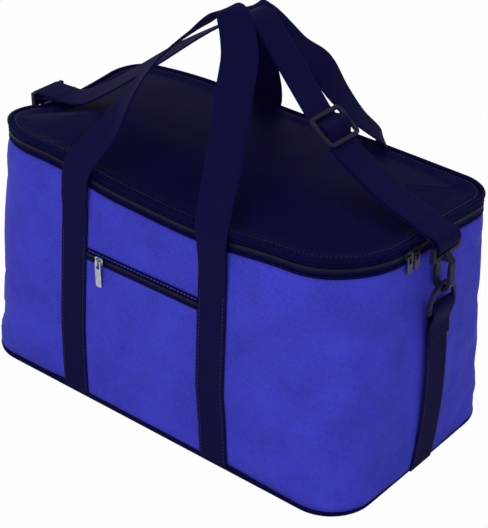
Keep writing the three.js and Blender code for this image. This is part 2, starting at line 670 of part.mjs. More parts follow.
function addShoulderStrap() {
  const top = new THREE.Vector2(STRAP_TOP_X, STRAP_TOP);
  const eyeZ = RING_TOP_Z + EYE_BAR_Z;

  // Left part: a sewn tail, round the left eye, and up to the top with a little sag
  const leftEdge = overEdge(LEFT_SIDE, top);
  const leftFoot = leftEdge[leftEdge.length - 1];
  const leftAlong = top.clone().sub(leftFoot).normalize();
  const leftTurn = top.clone().addScaledVector(leftAlong, -STRAP_TURN);
  const sagged = leftFoot.clone().lerp(leftTurn, 0.5).add(new THREE.Vector2(0, -STRAP_SAG));
  const leftRun = new THREE.QuadraticBezierCurve(leftFoot, sagged, leftTurn).getPoints(ARC_STEPS).slice(1);
  const leftPath = [...leftEdge, ...leftRun];
  const leftLengths = pathLengths(leftPath);
  const tail = movedRight(leftPath, (i) => foldSpread(EYE_WRAP, leftLengths[i]))
    .filter((point, i) => leftLengths[i] < STRAP_TAIL).reverse();
  const leftEye = arc(-RING_X, eyeZ, EYE_WRAP, 360, 180).slice(1, -1);

  // Right part: through the adjuster, over the edge and round the right eye
  const rightEdge = overEdge(RIGHT_SIDE, top).reverse();
  const along = rightEdge[0].clone().sub(top).normalize();
  const up = new THREE.Vector2(-along.y, along.x);

  // Adjuster: the webbing humps over the middle bar, on top of the folded end that is sewn round that bar
  const level = ADJUSTER_THICKNESS / 2 + CLEARANCE + WEBBING_THICKNESS / 2;
  const wrap = Math.hypot(ADJUSTER_BAR, ADJUSTER_THICKNESS) / 2 + CLEARANCE + WEBBING_THICKNESS / 2;
  const hump = wrap + WEBBING_THICKNESS + CLEARANCE;
  const humpSin = Math.sin(HUMP_ANGLE * DEGREE);
  const humpCos = Math.cos(HUMP_ANGLE * DEGREE);
  const humpEnd = hump * humpSin + ((hump * humpCos + level) / humpSin) * humpCos;
  const lead = humpEnd + WEBBING_THICKNESS + ADJUSTER_BAR + ADJUSTER_LEAD;
  const centre = top.clone().addScaledVector(along, ADJUSTER_FROM_TOP)
    .addScaledVector(up, level - ADJUSTER_SAG);
  const place = (point) => centre.clone().addScaledVector(along, point.x).addScaledVector(up, point.y);
  const overBar = [
    new THREE.Vector2(-lead, -level),
    new THREE.Vector2(-humpEnd, -level),
    ...arc(0, 0, hump, 90 + HUMP_ANGLE, 90 - HUMP_ANGLE),
    new THREE.Vector2(humpEnd, -level),
    new THREE.Vector2(lead, -level),
  ].map(place);
  const roundBar = arc(0, 0, wrap, 270, 90 - HUMP_ANGLE).map(place);

  const rightTurn = top.clone().add(overBar[0].clone().sub(top).setLength(STRAP_TURN));
  const turn = new THREE.QuadraticBezierCurve(leftTurn, top, rightTurn).getPoints(ARC_STEPS).slice(1);
  const rightPath = [...overBar.slice(-2), ...rightEdge];
  const rightLengths = pathLengths(rightPath);
  const rightTotal = rightLengths[rightLengths.length - 1];
  const back = movedRight(rightPath, (i) => foldSpread(EYE_WRAP, rightTotal - rightLengths[i])).reverse();
  const rightEye = arc(RING_X, eyeZ, EYE_WRAP, 0, -180).slice(1, -1);
  addNode('shoulder_strap', ribbon([
    ...tail, ...leftEye, ...leftPath, ...turn, ...overBar, ...rightEdge, ...rightEye, ...back, ...roundBar,
  ]), navyWebbing);
  addAdjuster(centre, along, humpEnd);
}

function roundedPlate(halfX, halfY, corner) {
  const shape = new THREE.Shape();
  shape.absarc(halfX - corner, halfY - corner, corner, 0, Math.PI / 2, false);
  shape.absarc(corner - halfX, halfY - corner, corner, Math.PI / 2, Math.PI, false);
  shape.absarc(corner - halfX, corner - halfY, corner, Math.PI, 1.5 * Math.PI, false);
  shape.absarc(halfX - corner, corner - halfY, corner, 1.5 * Math.PI, 2 * Math.PI, false);
  return shape;
}

function rectangleHole(left, right, low, high) {
  const hole = new THREE.Path();
  hole.moveTo(left, low);
  hole.lineTo(left, high);
  hole.lineTo(right, high);
  hole.lineTo(right, low);
  return hole;
}

// Three-bar adjuster, lying along the strap
function addAdjuster(centre, along, humpEnd) {
  const slotEnd = humpEnd + WEBBING_THICKNESS;
  const half = WEBBING / 2 + EYE_PLAY;
  const plate = roundedPlate(slotEnd + ADJUSTER_BAR - ADJUSTER_BEVEL, half + ADJUSTER_RAIL - ADJUSTER_BEVEL,
    ADJUSTER_CORNER);
  const holeX = slotEnd + ADJUSTER_BEVEL;
  const holeY = half + ADJUSTER_BEVEL;
  plate.holes.push(rectangleHole(-holeX, holeX, -holeY, holeY));
  const frame = new THREE.ExtrudeGeometry(plate, {
    depth: ADJUSTER_THICKNESS - 2 * ADJUSTER_BEVEL,
    bevelThickness: ADJUSTER_BEVEL,
    bevelSize: ADJUSTER_BEVEL,
    bevelSegments: 1,
    curveSegments: CORNER_STEPS / 2,
  });
  frame.translate(0, 0, ADJUSTER_BEVEL - ADJUSTER_THICKNESS / 2);
  const middleBar = new THREE.BoxGeometry(ADJUSTER_BAR, 2 * half + ADJUSTER_RAIL, ADJUSTER_THICKNESS);
  const adjuster = addNode('strap_adjuster', joined([frame, middleBar]), blackPlastic);
  adjuster.position.set(centre.x, 0, centre.y);
  adjuster.rotation.y = Math.atan2(-along.y, along.x);
}

// Slider: a plate over the coil with an arched crown across it. X runs along the zip and Z stands out.
function slider() {
  const plate = new THREE.ExtrudeGeometry(roundedPlate(SLIDER_LENGTH / 2, SLIDER_HEIGHT / 2, SLIDER_CORNER),
    { depth: SLIDER_PLATE, bevelEnabled: false, curveSegments: CORNER_STEPS / 2 });
  plate.translate(0, 0, CLEARANCE);
  const reach = CROWN_REACH + CROWN_WIRE;
  const arch = new THREE.Shape();
  arch.moveTo(-reach, -SLIDER_PLATE / 2);
  arch.lineTo(-CROWN_REACH, -SLIDER_PLATE / 2);
  arch.lineTo(-CROWN_REACH, CROWN_TUNNEL);
  arch.lineTo(CROWN_REACH, CROWN_TUNNEL);
  arch.lineTo(CROWN_REACH, -SLIDER_PLATE / 2);
  arch.lineTo(reach, -SLIDER_PLATE / 2);
  arch.lineTo(reach, CROWN_TUNNEL + CROWN_WIRE);
  arch.lineTo(-reach, CROWN_TUNNEL + CROWN_WIRE);
  const crown = new THREE.ExtrudeGeometry(arch, { depth: CROWN_WIDTH, bevelEnabled: false });
  crown.translate(0, 0, -CROWN_WIDTH / 2).rotateX(Math.PI / 2).rotateZ(Math.PI / 2);
  crown.translate(0, 0, SLIDER_OUT);
  return joined([plate, crown]);
}

// Pull: a flat tab whose crossbar lies under the slider's crown
function pull(length) {
  const top = PULL_CROSSBAR / 2 - PULL_AXIS_DROP;
  const tab = roundedPlate(PULL_WIDTH / 2, length / 2, SLIDER_CORNER);
  const holeTop = length / 2 - PULL_CROSSBAR;
  const holeHalf = PULL_HOLE_WIDTH / 2;
  tab.holes.push(rectangleHole(-holeHalf, holeHalf, holeTop - PULL_HOLE_LENGTH, holeTop));
  const geometry = new THREE.ExtrudeGeometry(tab,
    { depth: PULL_THICKNESS, bevelEnabled: false, curveSegments: CORNER_STEPS / 2 });
  return geometry.translate(0, top - length / 2, PULL_AXIS_OUT - PULL_THICKNESS / 2);
}

// A slider and its pull, standing on a zip at a place with the given outward direction
function addSlider(names, place, outward, pullLength) {
  const mount = new THREE.Group();
  const up = new THREE.Vector3(0, 0, 1);
  const along = new THREE.Vector3().crossVectors(up, outward);
  mount.setRotationFromMatrix(new THREE.Matrix4().makeBasis(along, up, outward));
  mount.position.copy(place);
  bag.add(mount);
  addNode(names.slider, slider(), brightMetal, mount);
  addNode(names.pull, pull(pullLength), brightMetal, mount);
}

function addSliders() {
  const endwards = new THREE.Vector3(1, 0, 0);
  const cornerY = RIM_FRONT_CORNER - RIM_DEPTH / 2;
  const track = RIM_LENGTH / 2 + COIL_PROUD;
  addSlider({ slider: 'main_zip_slider_front', pull: 'main_zip_pull_front' },
    new THREE.Vector3(track, cornerY, ZIP_CENTRE_Z), endwards, MAIN_PULL_LENGTH);
  addSlider({ slider: 'main_zip_slider_rear', pull: 'main_zip_pull_rear' },
    new THREE.Vector3(track, cornerY + SLIDER_SPACING, ZIP_CENTRE_Z), endwards, MAIN_PULL_LENGTH);
  const pocketTrack = wallAt(POCKET_ZIP_Z).halfDepth + CLEARANCE + POCKET_COIL_DEPTH;
  const frontwards = new THREE.Vector3(0, FRONT, 0);
  addSlider({ slider: 'pocket_zip_slider', pull: 'pocket_zip_pull' },
    new THREE.Vector3(POCKET_SLIDER_X, -pocketTrack, POCKET_ZIP_Z), frontwards, POCKET_PULL_LENGTH);
}

addTub();
addMainZip();
addLid();
addHandleLegs();
addHandleLoops();
addPocket();
addEnds();
addShoulderStrap();
addSliders();

export default bag;
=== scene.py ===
"""Sews the cloth, webbing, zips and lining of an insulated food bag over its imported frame."""
import math

import bpy
import numpy as np
from bpy.props import FloatProperty, FloatVectorProperty, PointerProperty
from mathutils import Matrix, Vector, noise


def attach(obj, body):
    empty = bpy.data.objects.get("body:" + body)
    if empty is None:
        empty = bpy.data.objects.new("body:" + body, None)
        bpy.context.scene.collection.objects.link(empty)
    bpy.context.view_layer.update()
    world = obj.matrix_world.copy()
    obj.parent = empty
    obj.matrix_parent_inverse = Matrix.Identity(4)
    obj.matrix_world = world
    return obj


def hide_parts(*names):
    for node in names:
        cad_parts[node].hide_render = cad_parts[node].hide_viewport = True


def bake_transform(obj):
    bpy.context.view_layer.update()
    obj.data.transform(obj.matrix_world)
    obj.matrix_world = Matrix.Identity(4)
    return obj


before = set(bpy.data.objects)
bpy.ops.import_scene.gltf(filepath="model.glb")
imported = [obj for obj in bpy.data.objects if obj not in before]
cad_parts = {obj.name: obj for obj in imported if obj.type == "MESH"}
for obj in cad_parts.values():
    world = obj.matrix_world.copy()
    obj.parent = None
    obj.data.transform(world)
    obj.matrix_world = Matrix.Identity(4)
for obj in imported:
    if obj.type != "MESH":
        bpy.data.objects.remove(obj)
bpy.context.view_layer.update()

bl_info = {
    "name": "Insulated Food Bag",
    "version": (1, 0, 0),
    "blender": (4, 5, 0),
    "location": "View3D > Sidebar > Food Bag",
    "description": "Sews the cloth, webbing, zips and lining of a food bag over its frame",
    "category": "Add Mesh",
}

CLEAR = 0.0003

# Name of the cloth's own map, and the start of the names of the finishes made here
CLOTH_MAP = "cloth"
MADE = "bag_"

# Columns round the tub, and rows up it
FRONT_COLUMNS = 72
END_COLUMNS = 36
CORNER_COLUMNS = 18
WALL_ROWS = 46
INNER_ROWS = 6


# Settings that a user would change

def size(name, default, description):
    return FloatProperty(name=name, description=description, default=default, precision=4,
                         subtype="DISTANCE", unit="LENGTH")


def colour(name, default, description):
    return FloatVectorProperty(name=name, description=description, default=default, size=3,
                               subtype="COLOR", min=0.0, max=1.0)


def angle(name, degrees, description):
    return FloatProperty(name=name, description=description, default=math.radians(degrees),
                         subtype="ANGLE", unit="ROTATION")


class FoodBagTub(bpy.types.PropertyGroup):
    """Sizes of the padded tub"""
    base_length: size("Base length", 0.450, "Length of the base")
    base_depth: size("Base depth", 0.242, "Depth of the base, front to back")
    base_corner: size("Base corner", 0.044, "Corner radius at the base")
    rim_length: size("Rim length", 0.442, "Length of the rim")
    rim_depth: size("Rim depth", 0.210, "Depth of the rim, front to back")
    rim_front_corner: size("Rim front corner", 0.070, "Radius of the rim's front corners")
    rim_back_corner: size("Rim back corner", 0.032, "Radius of the rim's back corners")
    corner_ease: size("Corner ease", 0.007, "How much rounder the corners are at half height")
    wall_height: size("Wall height", 0.227, "Height of the blue wall's top edge")
    end_swell: size("End swell", 0.0005, "How far the ends' corners bow out at half height")
    end_bulge: size("End bulge", 0.010, "How much further the middle of each end bows out")
    front_swell: size("Front swell", 0.0022, "How far the front and back bow out at half height")
    cloth: size("Cloth", 0.0012, "Thickness of the outer cloth")
    padding: size("Padding", 0.0068, "Depth of cloth and foam in front of the lining")
    film: size("Film", 0.0008, "Thickness of the lining film")
    floor: size("Floor", 0.0086, "Height of the lining's floor")
    billow: size("Billow", 0.0017, "How far the slack cloth wanders in and out")


class FoodBagLid(bpy.types.PropertyGroup):
    """Sizes of the lid and of the main zip"""
    rim_piping: size("Rim piping", 0.003, "Diameter of the cord below the zip")
    rim_piping_proud: size("Rim piping proud", 0.0008, "How far that cord stands out")
    tape: size("Zip tape", 0.0032, "Height of each zip tape that shows")
    teeth: size("Zip teeth", 0.0017, "Height of each row of teeth")
    teeth_depth: size("Teeth depth", 0.002, "Depth of the teeth")
    teeth_proud: size("Teeth proud", 0.0006, "How far the teeth stand out of the tape")
    teeth_pitch: size("Teeth pitch", 0.0017, "Distance from tooth to tooth on one tape")
    piping: size("Lid piping", 0.0044, "Diameter of the cord along the lid's edge")
    piping_proud: size("Lid piping proud", 0.0012, "How far that cord stands out")
    crown: size("Crown", 0.009, "How far the lid's middle rises over its edge")
    crown_run: size("Crown run", 0.090, "Distance from the edge over which it rises")
    foam: size("Foam", 0.005, "Thickness of the lid's foam")
    zip_end: angle("Zip end", 65, "Bearing at which the zip ends on each back corner")


class FoodBagWebbing(bpy.types.PropertyGroup):
    """Sizes of the handles and straps"""
    width: size("Width", 0.032, "Width of the webbing")
    thickness: size("Thickness", 0.0018, "Thickness of the webbing")
    leg_foot: size("Leg foot", 0.0015, "Height at which the sewn legs start")
    pivot: size("Pivot height", 0.213, "Height at which a handle comes free of its legs")


class FoodBagStrap(bpy.types.PropertyGroup):
    """Sizes of the shoulder strap and the end straps"""
    ring_x: size("Ring distance", 0.236, "Distance of a D-ring from the middle")
    ring_z: size("Ring height", 0.1765, "Height of a D-ring's bar")
    ring_wrap: size("Ring wrap", 0.00353, "Radius of the fold round a D-ring's bar")
    sewn: size("Sewn height", 0.128, "Height at which an end strap leaves the wall")
    fold: size("Fold", 0.036, "Length of an end strap's folded tail")
    eye_z: size("Eye height", 0.2373, "Height of the hooks' eye bars")
    eye_wrap: size("Eye wrap", 0.00403, "Radius of the fold round an eye bar")
    top_x: size("Top place", 0.034, "Sideways place of the strap's top")
    top: size("Top", 0.392, "Height at which the two runs would meet")
    turn: size("Turn", 0.016, "Length of each run that the top turn takes up")
    rest: size("Rest", 0.044, "How far in from the lid's edge the long run starts to rise")
    rest_rise: size("Rest rise", -0.006, "How far it rises by there")
    climb: size("Climb", 0.094, "How far in from the lid's edge the long run is straight again")
    climb_rise: size("Climb rise", 0.054, "How far it rises by there")
    twist: angle("Twist", 18, "How far the long run turns its face to the front")
    inside: size("Inside edge", 0.007, "How far inside the rim the strap leaves the lid's edge")
    over: size("Over edge", 0.007, "Height over the lid's edge at that point")
    bend: size("Bend", 0.014, "Softness of the bend over the edge")
    press: size("Press", 0.013, "How much lower it lies at the left, where it presses the lid's edge down")
    tail: size("Tail", 0.040, "Length of the sewn tail")
    spread: size("Spread", 0.022, "Length over which two folded layers close up")
    layer: size("Layer gap", 0.0004, "Gap between two layers")
    adjuster: size("Adjuster", 0.118, "Distance of the adjuster from the top")
    adjuster_sag: size("Adjuster sag", 0.020, "How far the adjuster hangs under the straight run")
    low_sag: size("Low sag", 0.010, "Sag of the run from the adjuster to the lid's edge")
    lead: size("Lead", 0.003, "Straight length on both sides of the adjuster")
    bar: size("Adjuster bar", 0.004, "Width of the adjuster's bars")
    bar_depth: size("Adjuster depth", 0.0036, "Thickness of the adjuster")
    hump: angle("Hump", 50, "Slope of the strap over the adjuster's middle bar")


class FoodBagPocket(bpy.types.PropertyGroup):
    """Sizes of the front pocket"""
    foot: size("Foot", 0.009, "Height of the pocket's lower edge")
    zip_z: size("Zip height", 0.160, "Height of the pocket's zip")
    tape: size("Tape", 0.004, "Height of each tape")
    teeth: size("Teeth", 0.003, "Height of the two rows of teeth together")
    teeth_depth: size("Teeth depth", 0.0018, "Depth of the teeth")
    edge_gap: size("Edge gap", 0.0005, "Gap to the handle's legs")
    slack: size("Slack", 0.0012, "How far the pocket's cloth bellies out")


class FoodBagColours(bpy.types.PropertyGroup):
    """Colours of the finishes"""
    blue: colour("Blue cloth", (0.042, 0.044, 0.470), "Outer cloth and pocket")
    navy: colour("Navy cloth", (0.0012, 0.0013, 0.033), "Lid, base, bindings and zip tapes")
    webbing: colour("Webbing", (0.0028, 0.0026, 0.037), "Handles and straps")
    thread: colour("Thread", (0.0026, 0.0025, 0.036), "Stitches on the webbing and lid")
    blue_thread: colour("Blue thread", (0.045, 0.045, 0.46), "Stitches on the blue cloth")
    plastic: colour("Plastic", (0.0050, 0.0045, 0.026), "Hooks, rings and adjuster")
    metal: colour("Metal", (0.62, 0.63, 0.66), "Pocket's slider and pull")
    dark_metal: colour("Dark metal", (0.12, 0.12, 0.16), "Main zip's sliders and pulls")
    film: colour("Film", (0.70, 0.71, 0.73), "Lining")
    board: colour("Board", (0.27, 0.26, 0.24), "Base board")


class FoodBagStage(bpy.types.PropertyGroup):
    """Camera and light"""
    azimuth: angle("Azimuth", 39.8, "Bearing of the camera from the front")
    elevation: angle("Elevation", 31.22, "Height of the camera over the horizon")
    distance: size("Distance", 1.4676, "Distance of the camera from its target")
    lens: FloatProperty(name="Lens", description="Focal length", default=106.5, subtype="DISTANCE_CAMERA")
    target: FloatVectorProperty(name="Target", description="Point in the middle of the picture",
                                default=(0.0181, 0.0, 0.1323), size=3, subtype="TRANSLATION", unit="LENGTH")


class FoodBagSettings(bpy.types.PropertyGroup):
    """All settings of the food bag"""
    tub: PointerProperty(type=FoodBagTub)
    lid: PointerProperty(type=FoodBagLid)
    webbing: PointerProperty(type=FoodBagWebbing)
    strap: PointerProperty(type=FoodBagStrap)
    pocket: PointerProperty(type=FoodBagPocket)
    colours: PointerProperty(type=FoodBagColours)
    stage: PointerProperty(type=FoodBagStage)


# Shader graphs

class Socket:
    """An output of a shader node that takes part in Python expressions."""

    def __init__(self, graph, socket):
        self.graph = graph
        self.socket = socket

    def math(self, operation, *values):
        return self.graph.add("ShaderNodeMath", {"operation": operation}, dict(enumerate(values)))

    def __add__(self, other):
        return self.math("ADD", self, other)

    __radd__ = __add__

    def __sub__(self, other):
        return self.math("SUBTRACT", self, other)

    def __rsub__(self, other):
        return self.math("SUBTRACT", other, self)

    def __mul__(self, other):
        return self.math("MULTIPLY", self, other)

    __rmul__ = __mul__

    def __abs__(self):
        return self.math("ABSOLUTE", self)

    def wave(self, pitch):
        """A wave from -1 to 1 that repeats at a pitch."""
        return self.math("SINE", self * (2 * math.pi / pitch))

    def smooth_step(self, low, high):
        """0 below low, 1 above high, and a smooth rise between."""
        return self.graph.add("ShaderNodeMapRange", {"interpolation_type": "SMOOTHSTEP", "clamp": True},
                              {"Value": self, "From Min": low, "From Max": high})


class Graph:
    """The node tree of a material or of the world."""

    def __init__(self, owner):
        owner.use_nodes = True
        self.owner = owner
        self.tree = owner.node_tree

    def feed(self, socket, value):
        if isinstance(value, Socket):
            self.tree.links.new(value.socket, socket)
        else:
            socket.default_value = value

    def add(self, kind, settings=None, inputs=None, output=0):
        """Adds a node, makes its settings, feeds its inputs, and returns one of its outputs."""
        node = self.tree.nodes.new(kind)
        for key, value in (settings or {}).items():
            setattr(node, key, value)
        for key, value in (inputs or {}).items():
            self.feed(node.inputs[key], value)
        return Socket(self, node.outputs[output])

    def surface(self, **inputs):
        """Feeds the Principled shader, whose sockets are named with underscores for spaces."""
        shader = self.tree.nodes["Principled BSDF"]
        for key, value in inputs.items():
            self.feed(shader.inputs[key.replace("_", " ")], value)
        return self.owner

    def place(self):
        """The point on the object, in metres."""
        return self.add("ShaderNodeTexCoord", output="Object")

    def along_and_across(self):
        """The two measures of the cloth's own map, in metres."""
        cloth = self.add("ShaderNodeUVMap", {"uv_map": CLOTH_MAP})
        return (self.add("ShaderNodeSeparateXYZ", inputs={"Vector": cloth}, output="X"),
                self.add("ShaderNodeSeparateXYZ", inputs={"Vector": cloth}, output="Y"))

    def mottle(self, scale, detail=3.0, roughness=0.55):
        """Soft noise from 0 to 1, with a scale in marks a metre."""
        return self.add("ShaderNodeTexNoise", inputs={
            "Vector": self.place(), "Scale": scale, "Detail": detail, "Roughness": roughness})

    def tint(self, shade, darker, lighter, amount):
        """A colour between darker and lighter versions of a shade, by an amount from 0 to 1."""
        low = (*(c * darker for c in shade), 1.0)
        high = (*(min(c * lighter, 1.0) for c in shade), 1.0)
        return self.add("ShaderNodeMix", {"data_type": "RGBA"}, {0: amount, 6: low, 7: high}, output=2)

    def bump(self, height, strength, distance):
        return self.add("ShaderNodeBump", inputs={"Height": height, "Strength": strength, "Distance": distance})


def new_finish(name):
    return Graph(bpy.data.materials.new(MADE + name))


def woven_cloth(name, shade, pitch, roughness, specular):
    """Plain-woven coated cloth: fine threads and a faint mottle."""
    graph = new_finish(name)
    along, across = graph.along_and_across()
    threads = along.wave(pitch) * across.wave(pitch) * 0.5 + 0.5
    grain = graph.mottle(430.0, 4.0, 0.75)
    patches = graph.mottle(26.0)
    tone = (grain * 0.55 + patches * 0.35 + threads * 0.1).smooth_step(0.28, 0.72)
    return graph.surface(
        Base_Color=graph.tint(shade, 0.74, 1.26, tone),
        Roughness=roughness - 0.08 + grain * 0.16,
        Normal=graph.bump(threads * 0.6 + grain * 0.9, 0.12, 0.0003),
        Specular_IOR_Level=specular)


CHEVRON_PITCH = 0.0085
CHEVRON_LEAN = 0.0016
RIB_PITCH = 0.0021
CORD_PITCH = 0.00165


def ribbed_webbing(name, shade):
    """Woven tape: close cross ribs in chevrons."""
    graph = new_finish(name)
    along, across = graph.along_and_across()
    lean = abs(across.wave(CHEVRON_PITCH)) * CHEVRON_LEAN
    ribs = (along + lean).wave(RIB_PITCH) * 0.5 + 0.5
    cords = across.wave(CORD_PITCH) * 0.5 + 0.5
    grain = graph.mottle(900.0, 3.0, 0.7)
    weave = ribs * 0.6 + cords * 0.4
    tone = (weave * 0.55 + grain * 0.45).smooth_step(0.2, 0.85)
    return graph.surface(
        Base_Color=graph.tint(shade, 0.55, 1.7, tone),
        Roughness=0.62 + grain * 0.2,
        Normal=graph.bump(weave + grain * 0.35, 0.2, 0.0004),
        Specular_IOR_Level=0.05)


def moulded_plastic(name, shade):
    """Satin plastic with a faint texture and rubbed high spots."""
    graph = new_finish(name)
    grain = graph.mottle(1500.0, 2.0)
    handling = graph.mottle(120.0)
    return graph.surface(
        Base_Color=graph.tint(shade, 0.85, 1.5, handling.smooth_step(0.35, 0.75)),
        Roughness=0.42 + handling * 0.18,
        Normal=graph.bump(grain, 0.15, 0.0002),
        Specular_IOR_Level=0.2)


def plated_metal(name, shade):
    """Plated die casting with fine handling marks."""
    graph = new_finish(name)
    marks = graph.mottle(700.0, 5.0, 0.7)
    dull = graph.mottle(180.0)
    return graph.surface(
        Base_Color=graph.tint(shade, 0.8, 1.08, dull.smooth_step(0.3, 0.7)),
        Roughness=0.22 + dull * 0.2, Metallic=1.0,
        Normal=graph.bump(marks, 0.12, 0.0002))


def crinkled_film(name, shade):
    """Silvered lining with the small dents and creases of bonded film, and painted shade along the creases."""
    graph = new_finish(name)
    creases = graph.add("ShaderNodeTexVoronoi", {"feature": "DISTANCE_TO_EDGE"},
                        {"Vector": graph.place(), "Scale": 42.0}, output="Distance")
    dents = graph.mottle(90.0, 4.0)
    folds_and_crease_shade = creases.smooth_step(0.0, 0.18)
    # The colour below is partly random tone from the dents and partly painted shade, darker along the crease lines.
    return graph.surface(
        Base_Color=graph.tint(shade, 0.82, 1.05, folds_and_crease_shade * 0.5 + dents * 0.5),
        Roughness=0.24 + dents * 0.2, Metallic=0.75,
        Normal=graph.bump(folds_and_crease_shade * 0.7 + dents, 0.6, 0.0016))


def grey_board(name, shade):
    graph = new_finish(name)
    fibres = graph.mottle(300.0, 5.0, 0.7)
    return graph.surface(Base_Color=graph.tint(shade, 0.8, 1.1, fibres), Roughness=0.75 + fibres * 0.15,
                         Normal=graph.bump(fibres, 0.3, 0.0006))


def plain_thread(name, shade):
    graph = new_finish(name)
    twist = graph.mottle(2500.0, 2.0)
    return graph.surface(Base_Color=graph.tint(shade, 0.7, 1.4, twist), Roughness=0.55 + twist * 0.1,
                         Normal=graph.bump(twist, 0.3, 0.0002))


def make_finishes(colours):
    woven_cloth("blue_cloth", colours.blue, 0.0016, 0.6, 0.06)
    woven_cloth("navy_cloth", colours.navy, 0.0016, 0.66, 0.04)
    ribbed_webbing("navy_webbing", colours.webbing)
    moulded_plastic("navy_plastic", colours.plastic)
    plated_metal("bright_metal", colours.metal)
    plated_metal("dark_metal", colours.dark_metal)
    crinkled_film("silver_film", colours.film)
    grey_board("grey_board", colours.board)
    plain_thread("navy_thread", colours.thread)
    plain_thread("blue_thread", colours.blue_thread)


def finish_of(name, context):
    """The bag's own finish of that name; the frame brings materials of its own under the plain names."""
    if MADE + name not in bpy.data.materials:
        make_finishes(context.scene.food_bag.colours)
    return bpy.data.materials[MADE + name]


# Meshes

def add_object(context, name, vertices, faces, finish, uvs=None, smooth=True):
    """A mesh object at the origin. uvs holds one pair for each corner of each face, in order."""
    mesh = bpy.data.meshes.new(name)
    mesh.from_pydata([tuple(v) for v in vertices], [], faces)
    layer = mesh.uv_layers.new(name=CLOTH_MAP)
    if uvs is not None:
        layer.data.foreach_set("uv", np.asarray(uvs, np.float32).ravel())
    mesh.polygons.foreach_set("use_smooth", [smooth] * len(mesh.polygons))
    mesh.materials.append(finish_of(finish, context))
    piece = bpy.data.objects.new(name, mesh)
    context.scene.collection.objects.link(piece)
    return piece


def unit(vectors):
    """The same directions, each of length 1."""
    return vectors / np.linalg.norm(vectors, axis=-1, keepdims=True)


def lengths_along(points):
    steps = np.linalg.norm(np.diff(points, axis=0), axis=1)
    return np.concatenate([[0.0], np.cumsum(steps)])


def grid_faces(rows, columns, rows_meet, columns_meet):
    """Quads of a grid, with the (row, column) pair of each corner before wrapping round."""
    faces, corners = [], []
    for r in range(rows if rows_meet else rows - 1):
        for c in range(columns if columns_meet else columns - 1):
            quad = ((r, c), (r, c + 1), (r + 1, c + 1), (r + 1, c))
            faces.append([(i % rows) * columns + j % columns for i, j in quad])
            corners.append(quad)
    return faces, corners


def loft(context, name, grid, finish, rows_meet=False, columns_meet=True, caps=False):
    """A skin over a (rows, columns, 3) grid of points, with its cloth map in metres."""
    grid = np.asarray(grid, float)
    rows, columns = grid.shape[:2]
    faces, corners = grid_faces(rows, columns, rows_meet, columns_meet)
    middle = grid[rows // 2]
    across = lengths_along(np.vstack([middle, middle[:1]]))
    along = lengths_along(np.vstack([grid[:, 0], grid[:1, 0]]))
    uvs = [(across[c], along[r]) for quad in corners for r, c in quad]
    vertices = grid.reshape(-1, 3)
    if caps:
        last = (rows - 1) * columns
        ends = (list(range(columns))[::-1], list(range(last, last + columns)))
        for end in ends:
            faces.append(end)
            uvs.extend((across[i % columns], along[0]) for i in end)
    if signed_volume(vertices, faces) < 0:
        faces, uvs = turned_over(faces, uvs)
    return add_object(context, name, vertices, faces, finish, uvs)


def signed_volume(vertices, faces):
    total = 0.0
    for face in faces:
        for second, third in zip(face[1:], face[2:]):
            total += np.dot(vertices[face[0]], np.cross(vertices[second], vertices[third]))
    return total


def turned_over(faces, uvs):
    turned, start = [], 0
    for face in faces:
        turned.extend(uvs[start:start + len(face)][::-1])
        start += len(face)
    return [face[::-1] for face in faces], turned


def soft_noise(point, scale):
    return noise.noise(Vector(point) * scale)


def smooth_step(low, high, value):
    t = np.clip((value - low) / (high - low), 0.0, 1.0)
    return t * t * (3 - 2 * t)


# Plan of the tub

def share_up(tub, z):
    """How far up the wall a height is: 0 at the base and 1 at the rim."""
    return min(max(z / tub.wall_height, 0.0), 1.0)


def plan(tub, z):
    """Half length, half depth, and radii of the front and back corners of the tub at a height."""
    t = share_up(tub, z)
    swell = 4 * t * (1 - t)
    return ((tub.base_length * (1 - t) + tub.rim_length * t) / 2 + tub.end_swell * swell,
            (tub.base_depth * (1 - t) + tub.rim_depth * t) / 2 + tub.front_swell * swell,
            tub.base_corner * (1 - t) + tub.rim_front_corner * t + tub.corner_ease * swell,
            tub.base_corner * (1 - t) + tub.rim_back_corner * t + tub.corner_ease * swell)


def end_bulge(tub, z):
    t = share_up(tub, z)
    return tub.end_bulge * 4 * t * (1 - t)


def end_x(tub, z):
    """Distance of the middle of an end from the middle of the bag."""
    return plan(tub, z)[0] + end_bulge(tub, z)


SMALLEST_CORNER = 0.002
SIDE_CORNERS = ((1, -1), (1, 1), (-1, 1), (-1, -1))


def outline(tub, inset, z):
    """Points round the tub, anticlockwise from the front's left end, and the bearing that each one faces."""
    half_length, half_depth, front, back = plan(tub, z)
    radii = [max((front if deep < 0 else back) - inset, SMALLEST_CORNER) for along, deep in SIDE_CORNERS]
    centres = [np.array([along * (half_length - inset - radius), deep * (half_depth - inset - radius)])
               for (along, deep), radius in zip(SIDE_CORNERS, radii)]
    points, bearings = [], []
    for side, (centre, radius) in enumerate(zip(centres, radii)):
        facing = math.radians(90 * side - 90)
        start = centres[side - 1] + radii[side - 1] * heading(facing)
        end = centre + radius * heading(facing)
        straight = END_COLUMNS if side % 2 else FRONT_COLUMNS
        bulge = end_bulge(tub, z) * heading(facing) * (side % 2)
        for i in range(straight):
            points.append(start + (end - start) * i / straight + bulge * math.sin(math.pi * i / straight) ** 2)
            bearings.append(facing)
        for i in range(CORNER_COLUMNS):
            bearing = facing + math.pi / 2 * i / CORNER_COLUMNS
            points.append(centre + radius * heading(bearing))
            bearings.append(bearing)
    return np.array(points), np.array(bearings)


def heading(bearing):
    return np.array([math.cos(bearing), math.sin(bearing)])


def ring(tub, inset, z):
    """A loop round the tub, which rises and sags as the rim does."""
    points = outline(tub, inset, z)[0]
    return np.column_stack([points, z + rim_lifts(tub) * lift_share(tub, z)])


